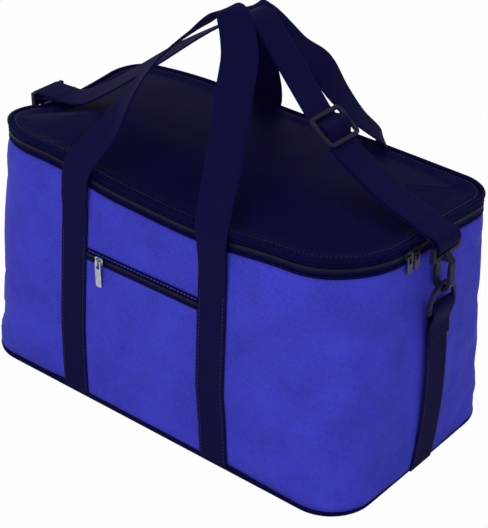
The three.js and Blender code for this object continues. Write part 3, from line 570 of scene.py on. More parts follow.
def round_zip(tub, lid):
    """Columns that the zip covers, from the back left corner past the front to the back right one."""
    bearings = outline(tub, 0.0, tub.wall_height)[1]
    edge = 1e-6
    back = (bearings > lid.zip_end + edge) & (bearings < math.pi - lid.zip_end - edge)
    start = int(np.flatnonzero(back)[-1]) + 1
    order = np.roll(np.arange(len(bearings)), -start)
    return order[~back[order]], order[back[order]]


def zip_heights(tub, lid):
    """Heights of the main zip's layers, from the rim up."""
    rim_cord = tub.wall_height + CLEAR
    lower_tape = rim_cord + lid.rim_piping + CLEAR
    lower_teeth = lower_tape + lid.tape + CLEAR
    upper_teeth = lower_teeth + lid.teeth + CLEAR
    upper_tape = upper_teeth + lid.teeth + CLEAR
    edge = upper_tape + lid.tape + CLEAR
    return {"rim_cord": rim_cord, "lower_tape": lower_tape, "lower_teeth": lower_teeth,
            "upper_teeth": upper_teeth, "upper_tape": upper_tape, "edge": edge}


# Middles of the handles' legs, by row and hand, at some heights: all in millimetres
LEG_LEVELS = (0, 40, 80, 150, 213)
LEGS = {("front", 1): (84, 81.5, 77, 76, 74), ("front", -1): (-90, -92, -93, -91.5, -90.5),
        ("rear", 1): (89, 88, 88, 89, 91), ("rear", -1): (-89, -86, -82, -74, -66)}


def leg_x(row, hand, z):
    return float(np.interp(z * 1000, LEG_LEVELS, LEGS[row, hand])) / 1000


# How far the rim and the lid's edge stand over (or hang under) their plain height at some bearings, in millimetres:
# the shoulder strap presses the left end down, and the load in the bag sets the rest
RIM_BEARINGS = (-180, -168, -154, -143, -132, -118, -113, -107, -100, -90, -79, -72, -67, -62, -58, -52, -46, -39,
                -34, -27, -20, 0, 21, 31, 46, 57, 66, 90, 114, 124, 131, 138, 150, 165)
RIM_LIFTS = (-16, -14, -5, 2, 6, 5.5, 2, -4.5, -6.5, -8.5, -10.3, -9, -7, -4, -1.5, -0.8, -0.5, 0.5,
             2, 0.8, -0.6, -1.1, -1.3, -4.5, -5, -3, -2, -0.5, 1, 0, -5, -9, -13, -15.5)
LIFT_EASE = 5
LIFT_REACH = 0.100


def rim_lifts(tub):
    """The lift of each column of the tub's outline."""
    points = outline(tub, 0.0, tub.wall_height)[0]
    bearings = np.degrees(np.arctan2(points[:, 1] / tub.rim_depth, points[:, 0] / tub.rim_length))
    lifts = np.interp(bearings, RIM_BEARINGS, RIM_LIFTS, period=360) / 1000
    return sum(np.roll(lifts, step) for step in range(-LIFT_EASE, LIFT_EASE + 1)) / (2 * LIFT_EASE + 1)


def lift_share(tub, z):
    return min(z / tub.wall_height, 1.0) ** 2


# Outer cloth of the tub

HEM_BEARINGS = (-180, -150, -120, -95, -60, -40, -15, 20, 60, 90, 130, 180)
HEM_HEIGHTS = (4.0, 6.0, 9.5, 11.0, 8.5, 5.0, 2.0, 2.0, 4.0, 8.5, 7.0, 4.0)
HEM_CURL = 0.004
HEM_TUCK = 0.001

# How far from sewn webbing and from the pocket's top edge the cloth is held in
LEG_PULL = 0.028
END_PULL = 0.030
POCKET_PULL = 0.030
POCKET_TOP = 0.168

# Digits of a height, in metres, up to which the plan is worked out
PLAN_DIGITS = 5


def hem_height(x, y, tub):
    """Height of the blue cloth's lower edge, which sags over the base at the ends."""
    bearing = math.degrees(math.atan2(y / tub.base_depth, x / tub.base_length))
    return float(np.interp(bearing, HEM_BEARINGS, HEM_HEIGHTS)) / 1000


def freedom(x, y, z, bearing, webbing):
    """0 where webbing or the pocket holds the cloth down, and 1 where it is free."""
    half = webbing.width / 2
    facing = abs(math.sin(bearing))
    free = 1.0
    if facing > 0.7:
        left, right = (leg_x("front" if y < 0 else "rear", hand, z) for hand in (-1, 1))
        free = float(smooth_step(half, half + LEG_PULL, min(abs(x - left), abs(x - right))))
        if y < 0 and left < x < right:
            free *= float(smooth_step(POCKET_TOP, POCKET_TOP + POCKET_PULL, z))
    elif facing < 0.3:
        free = float(smooth_step(half, half + END_PULL, abs(y)))
    return free


def cloth_offset(x, y, z, bearing, tub, webbing):
    """How far the slack cloth stands out of the plain form at a point."""
    free = freedom(x, y, z, bearing, webbing)
    broad = soft_noise((x, y, z * 0.8), 7.0)
    mid = soft_noise((x + 3, y, z * 0.6), 19.0)
    small = soft_noise((x, y + 5, z * 0.35), 48.0)
    below_rim = tub.wall_height - z
    pucker = math.exp(-below_rim / 0.02) * soft_noise((x * 2.2, y * 2.2, z * 0.4), 40.0)
    near_hem = math.exp(-z / 0.022) * soft_noise((x * 1.6 + 9, y * 1.6, z * 0.5), 36.0)
    ends = min(below_rim / 0.012, 1.0) * min(z / 0.012, 1.0)
    slack = tub.billow * (0.55 + broad + 0.45 * mid + 0.2 * small) * ends
    return free * (slack + 0.0015 * pucker * min(below_rim / 0.004, 1.0) + 0.0006 * near_hem)


def wall_rows(tub, webbing):
    """Outer surface of the wall as rows of points, from the hem to the rim."""
    plain, bearings = outline(tub, 0.0, 0.0)
    lifts = rim_lifts(tub)
    grid = np.zeros((WALL_ROWS + 1, len(plain), 3))
    plans = {}
    for column, (foot, bearing) in enumerate(zip(plain, bearings)):
        hem = hem_height(*foot, tub)
        for r in range(WALL_ROWS + 1):
            z = hem + (tub.wall_height - hem) * (r / WALL_ROWS)
            level = round(z, PLAN_DIGITS)
            if level not in plans:
                plans[level] = outline(tub, 0.0, level)[0]
            x, y = plans[level][column]
            offset = cloth_offset(x, y, z, bearing, tub, webbing)
            if z < HEM_CURL:
                offset -= HEM_TUCK * (1 - z / HEM_CURL) ** 2
            grid[r, column] = (x + offset * math.cos(bearing), y + offset * math.sin(bearing),
                               z + lifts[column] * lift_share(tub, z))
    return grid


def inner_wall_rows(tub, outer):
    """Inner face of the cloth, one thickness behind the outer one, from the rim down to the hem."""
    picks = np.linspace(len(outer) - 1, 0, INNER_ROWS).round().astype(int)
    bearings = outline(tub, 0.0, 0.0)[1]
    inward = np.column_stack([np.cos(bearings), np.sin(bearings), np.zeros(len(bearings))]) * tub.cloth
    return outer[picks] - inward


# Settings of the cloth run
CLOTH_FRAMES = 20
CLOTH_QUALITY = 5
CLOTH_MASS = 0.1
CLOTH_STIFFNESS = 2.0
CLOTH_GRAVITY = 0.1
WALL_PRESSURE = 2.0
WALL_GROWTH = 0.012
LID_PRESSURE = 0.5
LID_GROWTH = 0.008
MOST_GIVE = 0.003


def settled(context, grid, hold, pressure, growth, closing=()):
    """Where the points of a slack cloth come to rest over its filling. hold is 1 where the cloth is sewn down and 0
    where it is free, and closing holds more faces that close it."""
    scene = context.scene
    rows, columns = grid.shape[:2]
    mesh = bpy.data.meshes.new("slack_cloth")
    faces = grid_faces(rows, columns, False, True)[0] + list(closing)
    mesh.from_pydata([tuple(v) for v in grid.reshape(-1, 3)], [], faces)
    piece = bpy.data.objects.new("slack_cloth", mesh)
    scene.collection.objects.link(piece)
    sewn = piece.vertex_groups.new(name="sewn")
    for i, weight in enumerate(hold.ravel()):
        sewn.add([i], float(weight), "REPLACE")
    cloth = piece.modifiers.new("cloth", "CLOTH")
    cloth.settings.quality = CLOTH_QUALITY
    cloth.settings.mass = CLOTH_MASS
    cloth.settings.bending_stiffness = CLOTH_STIFFNESS
    cloth.settings.vertex_group_mass = "sewn"
    cloth.settings.shrink_min = -growth
    cloth.settings.use_pressure = True
    cloth.settings.uniform_pressure_force = pressure
    cloth.settings.effector_weights.gravity = CLOTH_GRAVITY
    cloth.collision_settings.use_collision = False
    cloth.point_cache.frame_start = 1
    cloth.point_cache.frame_end = CLOTH_FRAMES
    for step in range(1, CLOTH_FRAMES + 1):
        scene.frame_set(step)
    done = piece.evaluated_get(context.evaluated_depsgraph_get()).to_mesh()
    moved = np.array([v.co for v in done.vertices]).reshape(grid.shape) - grid
    scene.frame_set(1)
    bpy.data.objects.remove(piece)
    bpy.data.meshes.remove(mesh)
    far = np.linalg.norm(moved, axis=2, keepdims=True)
    return grid + moved * np.minimum(1.0, MOST_GIVE / np.maximum(far, 1e-9))


def wall_hold(tub, webbing, grid):
    """1 at the hem, at the rim and under the webbing and pocket, and 0 where the wall is free."""
    bearings = outline(tub, 0.0, 0.0)[1]
    hold = np.array([[1 - freedom(*point, bearing, webbing) for point, bearing in zip(row, bearings)]
                     for row in grid])
    hold[:2] = hold[-2:] = 1.0
    return hold


class FOODBAG_OT_tub(bpy.types.Operator):
    """Makes the blue wall, the base and the rim's cord"""
    bl_idname = "foodbag.tub"
    bl_label = "Tub"

    def execute(self, context):
        bag = context.scene.food_bag
        tub, lid = bag.tub, bag.lid
        outer = wall_rows(tub, bag.webbing)
        outer = settled(context, outer, wall_hold(tub, bag.webbing, outer), WALL_PRESSURE, WALL_GROWTH)
        wall = loft(context, "tub_wall", np.vstack([outer, inner_wall_rows(tub, outer)]), "blue_cloth", rows_meet=True)
        carry(wall, "tub", "blue_cloth", "outer_wall", *FOAM_NODES)

        base = loft(context, "tub_base", base_rings(tub), "navy_cloth", caps=True)
        carry(base, "tub", "navy_cloth", "bottom_panel")

        zip_columns = round_zip(tub, lid)[0]
        heights = zip_heights(tub, lid)
        cord = piping(context, "rim_cord", tub, lid.rim_piping, lid.rim_piping_proud, heights["rim_cord"], zip_columns)
        carry(cord, "tub", "navy_cloth", "rim_piping")
        dress("base_board", "grey_board", context)
        return {"FINISHED"}


FOAM_NODES = tuple(f"wall_foam_{place}" for place in (
    "front", "rear", "left", "right", "corner_front_left", "corner_front_right",
    "corner_rear_left", "corner_rear_right"))

# Levels of the base as (inset, height, share of the hem's height that comes on top): from the middle of its upper
# face, up inside the wall and down again, over its edge, to the middle of its underside
BASE_LEVELS = (
    (0.115, 0.0012, 0), (0.060, 0.0012, 0), (0.0075, 0.0012, 0), (0.0062, 0.0050, 0), (0.0060, 0.0165, 0),
    (0.0050, 0.0165, 0), (0.0046, 0.0030, 1), (0.0022, -0.0002, 1), (0.0002, -0.0012, 1), (-0.0006, 0.0002, 0.5),
    (-0.0002, 0.0004, 0.15), (0.0008, 0.0001, 0.05), (0.0024, 0.0, 0), (0.030, 0.0, 0), (0.070, 0.0, 0),
    (0.115, 0.0, 0))


def base_rings(tub):
    hems = np.array([hem_height(x, y, tub) for x, y in outline(tub, 0.0, 0.0)[0]])
    return [np.column_stack([outline(tub, inset, 0.0)[0], height + share * hems])
            for inset, height, share in BASE_LEVELS]


def carry(piece, body, slot, *nodes):
    """The piece rides on a body and stands for CAD nodes; slot is not used."""
    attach(piece, body)
    if nodes:
        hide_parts(*nodes)


def dress(node, finish, context, edge=0.0):
    """A CAD node keeps its shape, and gets a finish and softened edges."""
    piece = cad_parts[node]
    piece.data.materials.clear()
    piece.data.materials.append(finish_of(finish, context))
    if edge:
        bevel = piece.modifiers.new("soft_edges", "BEVEL")
        bevel.width = edge
        bevel.segments = 2
        bevel.limit_method = "ANGLE"
        bevel.angle_limit = math.radians(35)


PIPING_SIDES = 12


def piping(context, name, tub, diameter, proud, low, columns=None):
    """A covered cord let into a seam: round the whole rim, or along some of its columns."""
    radius = diameter / 2
    lifts = rim_lifts(tub)
    loops = []
    for i in range(PIPING_SIDES):
        turn = 2 * math.pi * i / PIPING_SIDES
        points = outline(tub, radius - proud - radius * math.cos(turn), tub.wall_height)[0]
        loops.append(np.column_stack([points, low + radius + radius * math.sin(turn) + lifts]))
    grid = np.array(loops)
    if columns is None:
        return loft(context, name, grid, "navy_cloth", rows_meet=True)
    grid = np.swapaxes(grid[:, columns], 0, 1)
    return loft(context, name, grid, "navy_cloth", caps=True)


# Lining

LINING_ROWS = 30
LINING_DROP = 0.0040
FLOOR_INSETS = (0.025, 0.045, 0.065, 0.09, 0.115)

# Section of the rim's binding as (inset, height): up its outer face, over the rim and down its inner one
BINDING_LEVELS = ((0.0016, 0.2233), (0.0012, 0.2250), (0.0013, 0.2264), (0.0024, 0.2270), (0.0064, 0.2270),
                  (0.0076, 0.2262), (0.0080, 0.2245), (0.0079, 0.2233))

# How deep the bonded film is dented, and how far the floor's film lies off its board
DENT = 0.0032
FLOOR_SLACK = 0.0007


class FOODBAG_OT_lining(bpy.types.Operator):
    """Makes the silver lining of the tub and the binding over its rim"""
    bl_idname = "foodbag.lining"
    bl_label = "Lining"

    def execute(self, context):
        tub = context.scene.food_bag.tub
        top = tub.wall_height - LINING_DROP
        depth = tub.padding + tub.film
        bottom = tub.floor
        under = bottom - tub.film
        levels = [(0.115, under), (0.060, under), (tub.padding + 0.004, under), (tub.padding, bottom + 0.004),
                  (tub.padding, top)]
        grid = [ring(tub, inset, z) for inset, z in levels]
        for r in range(LINING_ROWS + 1):
            z = top + (bottom + 0.006 - top) * r / LINING_ROWS
            grid.append(crinkled(ring(tub, depth, z), tub, z))
        grid += [ring(tub, depth + 0.0018, bottom + 0.0018), ring(tub, depth + 0.006, bottom)]
        grid += [sagging(ring(tub, inset, bottom)) for inset in FLOOR_INSETS]
        lining = loft(context, "tub_lining", grid, "silver_film", caps=True)
        carry(lining, "tub", "silver_film", "liner")

        grid = [ring(tub, inset, z) for inset, z in BINDING_LEVELS]
        binding = loft(context, "rim_tape", grid, "navy_cloth", rows_meet=True)
        carry(binding, "tub", "navy_cloth", "rim_binding")
        return {"FINISHED"}


def crinkled(row, tub, z):
    """The lining's row, dented inwards as bonded film is."""
    near_top = min((tub.wall_height - z) / 0.03, 1.0)
    out = row.copy()
    for i, (x, y, height) in enumerate(row):
        dent = 0.5 + 0.5 * soft_noise((x, y, height), 16.0) + 0.35 * soft_noise((x, y, height), 42.0)
        scale = 1 - DENT * max(dent, 0.0) * near_top / max(abs(x), abs(y))
        out[i, :2] *= scale
    return out


def sagging(row):
    out = row.copy()
    for i, (x, y, _) in enumerate(row):
        out[i, 2] += FLOOR_SLACK + FLOOR_SLACK * soft_noise((x, y, 0.0), 30.0)
    return out


# Lid

LID_ROWS = 22
LID_MIDDLE = 0.1024

# Half length of the cloth hinge, its columns, and its section as (height, distance out of the wall): up its outer face
# and down its inner one
HINGE_HALF = 0.145
HINGE_COLUMNS = 60
HINGE_LEVELS = ((0.2196, 0.0015), (0.2225, 0.0016), (0.2255, 0.0015), (0.2275, 0.0013), (0.2290, 0.0011),
                (0.2305, 0.0010), (0.2325, 0.0010), (0.2345, 0.0010),
                (0.2345, 0.0003), (0.2325, 0.0003), (0.2305, 0.0003), (0.2290, 0.0004), (0.2275, 0.0004),
                (0.2255, 0.0004), (0.2225, 0.0004), (0.2196, 0.0004))


def panel_start(lid):
    """Inset at which the lid's panel starts, behind its cord."""
    return lid.piping - lid.piping_proud + CLEAR


class FOODBAG_OT_lid(bpy.types.Operator):
    """Makes the padded lid, its cord, its lining and the cloth hinge along the back"""
    bl_idname = "foodbag.lid"
    bl_label = "Lid"

    def execute(self, context):
        bag = context.scene.food_bag
        tub, lid = bag.tub, bag.lid
        heights = zip_heights(tub, lid)
        edge = heights["edge"]
        start = panel_start(lid)
        panel_z = edge + lid.piping / 2
        insets = [start + (LID_MIDDLE - start) * (i / LID_ROWS) ** 1.5 for i in range(LID_ROWS + 1)]
        foam = tub.cloth + CLEAR + lid.foam
        upper = np.array([lid_row(tub, lid, inset, panel_z, 1.0) for inset in insets])
        hold = np.tile(1 - smooth_step(0.0, 0.012, np.array(insets) - start)[:, None], (1, upper.shape[1]))
        upper = list(settled(context, upper, hold, LID_PRESSURE, LID_GROWTH, ridge_faces(upper)))
        tucked = [ring_at(tub, start - 0.0002, panel_z - depth) for depth in (0.0012, 0.0040, foam - 0.0008)]
        lower = [lid_row(tub, lid, inset, panel_z - foam, 0.3) for inset in insets[::2]]
        top = loft(context, "lid_top", lower[::-1] + tucked[::-1] + upper, "navy_cloth", caps=True)
        carry(top, "lid", "navy_cloth", "lid_panel", "lid_foam")

        below = panel_z - foam - CLEAR
        facing = [lid_row(tub, lid, inset, below, 0.3) for inset in insets[::2]]
        hidden = [lid_row(tub, lid, inset, below - tub.film, -1.0) for inset in insets[::2]]
        lining = loft(context, "lid_lining", facing[::-1] + hidden, "silver_film", caps=True)
        carry(lining, "lid", "silver_film", "lid_liner")

        cord = piping(context, "lid_cord", tub, lid.piping, lid.piping_proud, edge)
        carry(cord, "lid", "navy_cloth", "lid_piping")
        self.make_hinge(context, bag, edge)
        return {"FINISHED"}

    def make_hinge(self, context, bag, edge):
        """The lid's plain back band, and the cloth that hinges it to the tub."""
        tub, lid = bag.tub, bag.lid
        back = round_zip(tub, lid)[1]
        low = tub.wall_height + 0.0025
        section = [(0.0002, low), (0.0, low + 0.004), (0.0002, edge - CLEAR), (0.0014, edge - CLEAR), (0.0014, low)]
        band = loft(context, "lid_back_band_cloth", strip_of(tub, section, back), "navy_cloth", caps=True)
        carry(band, "lid", "navy_cloth", "lid_back_band")

        xs = np.linspace(-HINGE_HALF, HINGE_HALF, HINGE_COLUMNS)
        rim = ring_at(tub, 0.0, 0.0)[back]
        lifts = np.interp(xs, rim[::-1, 0], rim[::-1, 2])
        rows = [(plan(tub, z)[1] + out, z) for z, out in HINGE_LEVELS]
        grid = np.array([[(x, y, z + lift) for y, z in rows] for x, lift in zip(xs, lifts)])
        hinge = loft(context, "lid_hinge_cloth", grid, "navy_cloth", caps=True)
        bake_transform(hinge)
        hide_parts("hinge_strip")


def ridge_faces(grid):
    """Faces across the slit between the front and the back of the lid's innermost row."""
    first = (grid.shape[0] - 1) * grid.shape[1]
    far = FRONT_COLUMNS + CORNER_COLUMNS + END_COLUMNS + CORNER_COLUMNS + FRONT_COLUMNS
    return [[first + i, first + i + 1, first + far - i - 1, first + far - i] for i in range(FRONT_COLUMNS)]


def ring_at(tub, inset, z):
    """A loop above the rim, whose lift fades towards the lid's middle."""
    points = outline(tub, inset, tub.wall_height)[0]
    return np.column_stack([points, z + rim_lifts(tub) * (1 - smooth_step(0.0, LIFT_REACH, inset))])


def strip_of(tub, section, columns):
    """A section of (inset, height) carried along some of the rim's columns."""
    loops = [ring_at(tub, inset, z)[columns] for inset, z in section]
    return np.swapaxes(np.array(loops), 0, 1)


def lid_row(tub, lid, inset, z, slack):
    """A row of the lid at an inset, crowned and a little uneven."""
    inside = inset - panel_start(lid)
    row = ring_at(tub, inset, z + lid.crown * math.sin(min(inside / lid.crown_run, 1.0) * math.pi / 2))
    settle = min(inside / 0.02, 1.0)
    for i, (x, y, _) in enumerate(row):
        broad = soft_noise((x, y, 0.4), 8.0)
        mid = soft_noise((x, y, 2.4), 20.0)
        pucker = math.exp(-inside / 0.012) * soft_noise((x, y, 4.4), 75.0)
        row[i, 2] += slack * (settle * (0.0016 * broad + 0.0008 * mid) + 0.0005 * pucker * min(inside / 0.002, 1.0))
    return row


# Zips

def boxes(context, name, centres, along, up, out, shape, finish):
    """A row of small blocks. shape holds eight (along, up, out) corners, lower face first."""
    corners = np.array(shape)
    vertices = (centres[:, None] + along[:, None] * corners[None, :, :1] + up[:, None] * corners[None, :, 1:2]
                + out[:, None] * corners[None, :, 2:])
    quads = ((0, 3, 2, 1), (4, 5, 6, 7), (0, 1, 5, 4), (1, 2, 6, 5), (2, 3, 7, 6), (3, 0, 4, 7))
    faces = [[8 * i + k for k in quad] for i in range(len(centres)) for quad in quads]
    return add_object(context, name, vertices.reshape(-1, 3), faces, finish, smooth=False)


def evenly(points, pitch, start):
    """Points at an even pitch along a polyline, with the direction of travel at each."""
    lengths = lengths_along(points)
    places = np.arange(start, lengths[-1], pitch)
    spread = np.column_stack([np.interp(places, lengths, points[:, k]) for k in range(3)])
    segment = np.clip(np.searchsorted(lengths, places) - 1, 0, len(points) - 2)
    along = points[segment + 1] - points[segment]
    return spread, unit(along)


TOOTH_WIDTH = 0.00095
TOOTH_HEAD = 0.00062

# How far a tooth reaches past the middle of its zip, and into its tape
TOOTH_MESH = 0.0006
TOOTH_ROOT = 0.00025

# Each row of teeth: the way its teeth point, and the share of a pitch at which it starts
TEETH_ROWS = ((1, 0.25), (-1, 0.75))


def tooth_shape(foot, head, depth):
    """A moulded tooth: wide at the tape, narrow and rounded back where it meshes."""
    wide, slim, back = TOOTH_WIDTH / 2, TOOTH_HEAD / 2, depth * 0.18
    return [(-wide, foot, -depth), (wide, foot, -depth), (wide, foot, 0), (-wide, foot, 0),
            (-slim, head, -depth + back), (slim, head, -depth + back), (slim, head, -back), (-slim, head, -back)]


class FOODBAG_OT_zips(bpy.types.Operator):
    """Makes the tapes and teeth of the main zip and of the pocket's zip"""
    bl_idname = "foodbag.zips"
    bl_label = "Zips"

    def execute(self, context):
        bag = context.scene.food_bag
        self.make_main(context, bag)
        self.make_pocket(context, bag)
        for node in ("main_zip_slider_front", "main_zip_slider_rear", "main_zip_pull_front", "main_zip_pull_rear"):
            dress(node, "dark_metal", context, 0.0003)
        for node in ("pocket_zip_slider", "pocket_zip_pull"):
            dress(node, "bright_metal", context, 0.0003)
        return {"FINISHED"}

    def make_main(self, context, bag):
        tub, lid = bag.tub, bag.lid
        columns = round_zip(tub, lid)[0]
        heights = zip_heights(tub, lid)
        tape_in = lid.teeth_depth - lid.teeth_proud - tub.cloth
        middle = heights["upper_teeth"] - CLEAR / 2
        track = ring_at(tub, -lid.teeth_proud, middle)[columns]
        tapes = (("lower", heights["lower_tape"], "tub"), ("upper", heights["upper_tape"], "lid"))
        for (side, low, body), (sign, share) in zip(tapes, TEETH_ROWS):
            outer = tape_in - 0.0001
            section = [(outer, low), (outer - 0.0001, low + lid.tape / 2), (outer, low + lid.tape),
                       (tape_in + tub.cloth, low + lid.tape), (tape_in + tub.cloth, low)]
            grid = strip_of(tub, section, columns)
            tape = loft(context, f"main_zip_tape_{side}_cloth", grid, "navy_cloth", caps=True)
            carry(tape, body, "navy_cloth", f"main_zip_tape_{side}")
            centres, along = evenly(track, lid.teeth_pitch, lid.teeth_pitch * share)
            up = np.tile([0.0, 0.0, 1.0], (len(centres), 1))
            out = np.cross(along, up)
            foot = -sign * (lid.teeth + TOOTH_ROOT)
            teeth = boxes(context, f"main_zip_teeth_{side}", centres, along, up, out,
                          tooth_shape(foot, sign * TOOTH_MESH, lid.teeth_depth), "navy_plastic")
            carry(teeth, body, "navy_cloth", f"main_zip_coil_{side}")

    def make_pocket(self, context, bag):
        tub, pocket = bag.tub, bag.pocket
        low = pocket.zip_z - pocket.teeth / 2
        high = pocket.zip_z + pocket.teeth / 2
        for side, z0, z1 in (("lower", low - CLEAR - pocket.tape, low - CLEAR),
                             ("upper", high + CLEAR, high + CLEAR + pocket.tape)):
            tape = pocket_sheet(context, f"pocket_zip_tape_{side}_cloth", bag, z0, z1, 0.0, "navy_cloth", 4)
            carry(tape, "tub", "navy_cloth", f"pocket_zip_tape_{side}")
        y = -(plan(tub, pocket.zip_z)[1] + CLEAR + pocket.teeth_depth)
        track = np.array([(x, y, pocket.zip_z) for x in pocket_sides(bag, pocket.zip_z)])
        pitch = bag.lid.teeth_pitch
        rows = []
        for sign, share in TEETH_ROWS:
            centres, along = evenly(track, pitch, pitch * share)
            up, out = (np.tile(way, (len(centres), 1)) for way in ([0.0, 0.0, sign], [0.0, -1.0, 0.0]))
            rows.append((centres, along * sign, up, out))
        centres, along, up, out = (np.vstack(part) for part in zip(*rows))
        teeth = boxes(context, "pocket_zip_teeth", centres, along, up, out,
                      tooth_shape(-pocket.teeth / 2, TOOTH_MESH, pocket.teeth_depth), "navy_plastic")
        carry(teeth, "tub", "navy_cloth", "pocket_zip_coil")


# Pocket

def pocket_sides(bag, z):
    """Where the pocket ends at the two legs of the front handle."""
    inset = bag.webbing.width / 2 + bag.pocket.edge_gap
    return leg_x("front", -1, z) + inset, leg_x("front", 1, z) - inset


def pocket_sheet(context, name, bag, low, high, slack, finish, rows=40, columns=48):
    """A sheet between the front handle's legs, lying on the wall and bellying out a little."""
    tub = bag.tub
    front, back = [], []
    for r in range(rows + 1):
        z = low + (high - low) * r / rows
        left, right = pocket_sides(bag, z)
        y = plan(tub, z)[1] + CLEAR
        rise = min((z - low) / 0.02, (high - z) / 0.02, 1.0)
        outer, inner = [], []
        for c in range(columns + 1):
            x = left + (right - left) * c / columns
            side = min((x - left) / 0.02, (right - x) / 0.02, 1.0)
            wander = 0.7 + 0.6 * soft_noise((x, 0.3, z), 16.0) + 0.3 * soft_noise((x, 1.3, z), 40.0)
            belly = slack * wander * math.sin(max(rise, 0) * math.pi / 2) * math.sin(max(side, 0) * math.pi / 2)
            outer.append((x, -(y + tub.cloth + belly), z))
            inner.append((x, -y, z))
        front.append(outer)
        back.append(inner)
    section = np.concatenate([np.array(front), np.array(back)[:, ::-1]], axis=1)
    return loft(context, name, section, finish, caps=True)


class FOODBAG_OT_pocket(bpy.types.Operator):
    """Makes the front pocket's panel"""
    bl_idname = "foodbag.pocket"
    bl_label = "Pocket"

    def execute(self, context):
        bag = context.scene.food_bag
        pocket = bag.pocket
        top = pocket.zip_z - pocket.teeth / 2 - CLEAR - pocket.tape - CLEAR
        panel = pocket_sheet(context, "pocket_cloth", bag, pocket.foot, top, pocket.slack, "blue_cloth")
        carry(panel, "tub", "blue_cloth", "pocket_panel")
        left, right = pocket_sides(bag, (pocket.foot + top) / 2)
        return {"FINISHED"}


# Webbing

EDGE_ROUND = 0.0007


def webbing_section(width, thickness):
    """Half round edges and flat faces, as (across, out) pairs."""
    half, lift = width / 2, thickness / 2
    upper = [(-half, 0.0), (-half + EDGE_ROUND * 0.3, lift * 0.7), (-half + EDGE_ROUND, lift)]
    upper += [(x, lift) for x in np.linspace(-half, half, 9)[1:-1]]
    upper += [(half - EDGE_ROUND, lift), (half - EDGE_ROUND * 0.3, lift * 0.7), (half, 0.0)]
    lower = [(x, -y) for x, y in upper[::-1][1:-1]]
    return np.array(upper + lower)


def webbing_strip(context, name, bag, centres, across):
    """A length of webbing along a row of centres, each with the direction of its width."""
    centres = np.asarray(centres, float)
    along = unit(np.gradient(centres, axis=0))
    across = unit(across - along * np.sum(across * along, axis=1)[:, None])
    out = np.cross(along, across)
    section = webbing_section(bag.webbing.width, bag.webbing.thickness)
    grid = (centres[:, None] + across[:, None] * section[None, :, :1] + out[:, None] * section[None, :, 1:])
    piece = loft(context, name, grid, "navy_webbing", caps=True)
    map_webbing(piece, section, lengths_along(centres))
    return piece


def map_webbing(piece, section, lengths):
    """Cloth map of a strip: across the width and along the length, in metres."""
    columns = len(section)
    uv = piece.data.uv_layers[CLOTH_MAP].data
    for loop in piece.data.loops:
        row, column = divmod(loop.vertex_index, columns)
        uv[loop.index].uv = (lengths[min(row, len(lengths) - 1)], section[column][0])


def catmull_rom(points, t):
    """Point on a centripetal curve through the points, with t from 0 to 1 over all of them."""
    count = len(points)
    place = (count - 1) * t
    i = min(int(place), count - 2)
    w = place - i
    p1, p2 = points[i], points[i + 1]
    p0 = points[i - 1] if i else 2 * p1 - p2
    p3 = points[i + 2] if i + 2 < count else 2 * p2 - p1
    d0, d1, d2 = (math.sqrt(np.linalg.norm(b - a)) for a, b in ((p0, p1), (p1, p2), (p2, p3)))
    m1 = ((p1 - p0) / d0 - (p2 - p0) / (d0 + d1) + (p2 - p1) / d1) * d1
    m2 = ((p2 - p1) / d1 - (p3 - p1) / (d1 + d2) + (p3 - p2) / d2) * d1
    return (p1 + m1 * w + (3 * (p2 - p1) - 2 * m1 - m2) * w ** 2 + (2 * (p1 - p2) + m1 + m2) * w ** 3)


LEG_STEPS = 40
LOOP_STEPS = 150
LEG_LEAVES = 0.030
FOOT_TUCK = 0.0042
FOOT_RISE = 0.009
TURN_EASE = 6


# Free loops of the handles, right foot first: (x, distance from the middle, z) in millimetres, and the turn of
# the webbing from lying flat on its right leg, in degrees
FREE_LOOPS = {
    "front": ((74, 110, 238, 8), (67, 87, 285, 34), (60, 63, 343, 42), (55, 50, 378, 52), (38, 44, 405, 80),
              (13, 55, 386, 95), (-13, 69, 360, 108), (-33, 83, 330, 128), (-57, 95, 286, 162), (-85, 109, 243, 180)),
    "rear": ((94, 110, 231, 24), (96, 107, 246, 46), (76, 97, 266, 66), (61, 85, 290, 82), (46, 69, 323, 100),
             (25, 59, 338, 106), (0, 47, 363, 106), (-12, 44, 368, 104), (-18, 55, 345, 125), (-24, 75, 303, 160),
             (-29, 91, 270, 176), (-46, 108, 238, 180)),
}


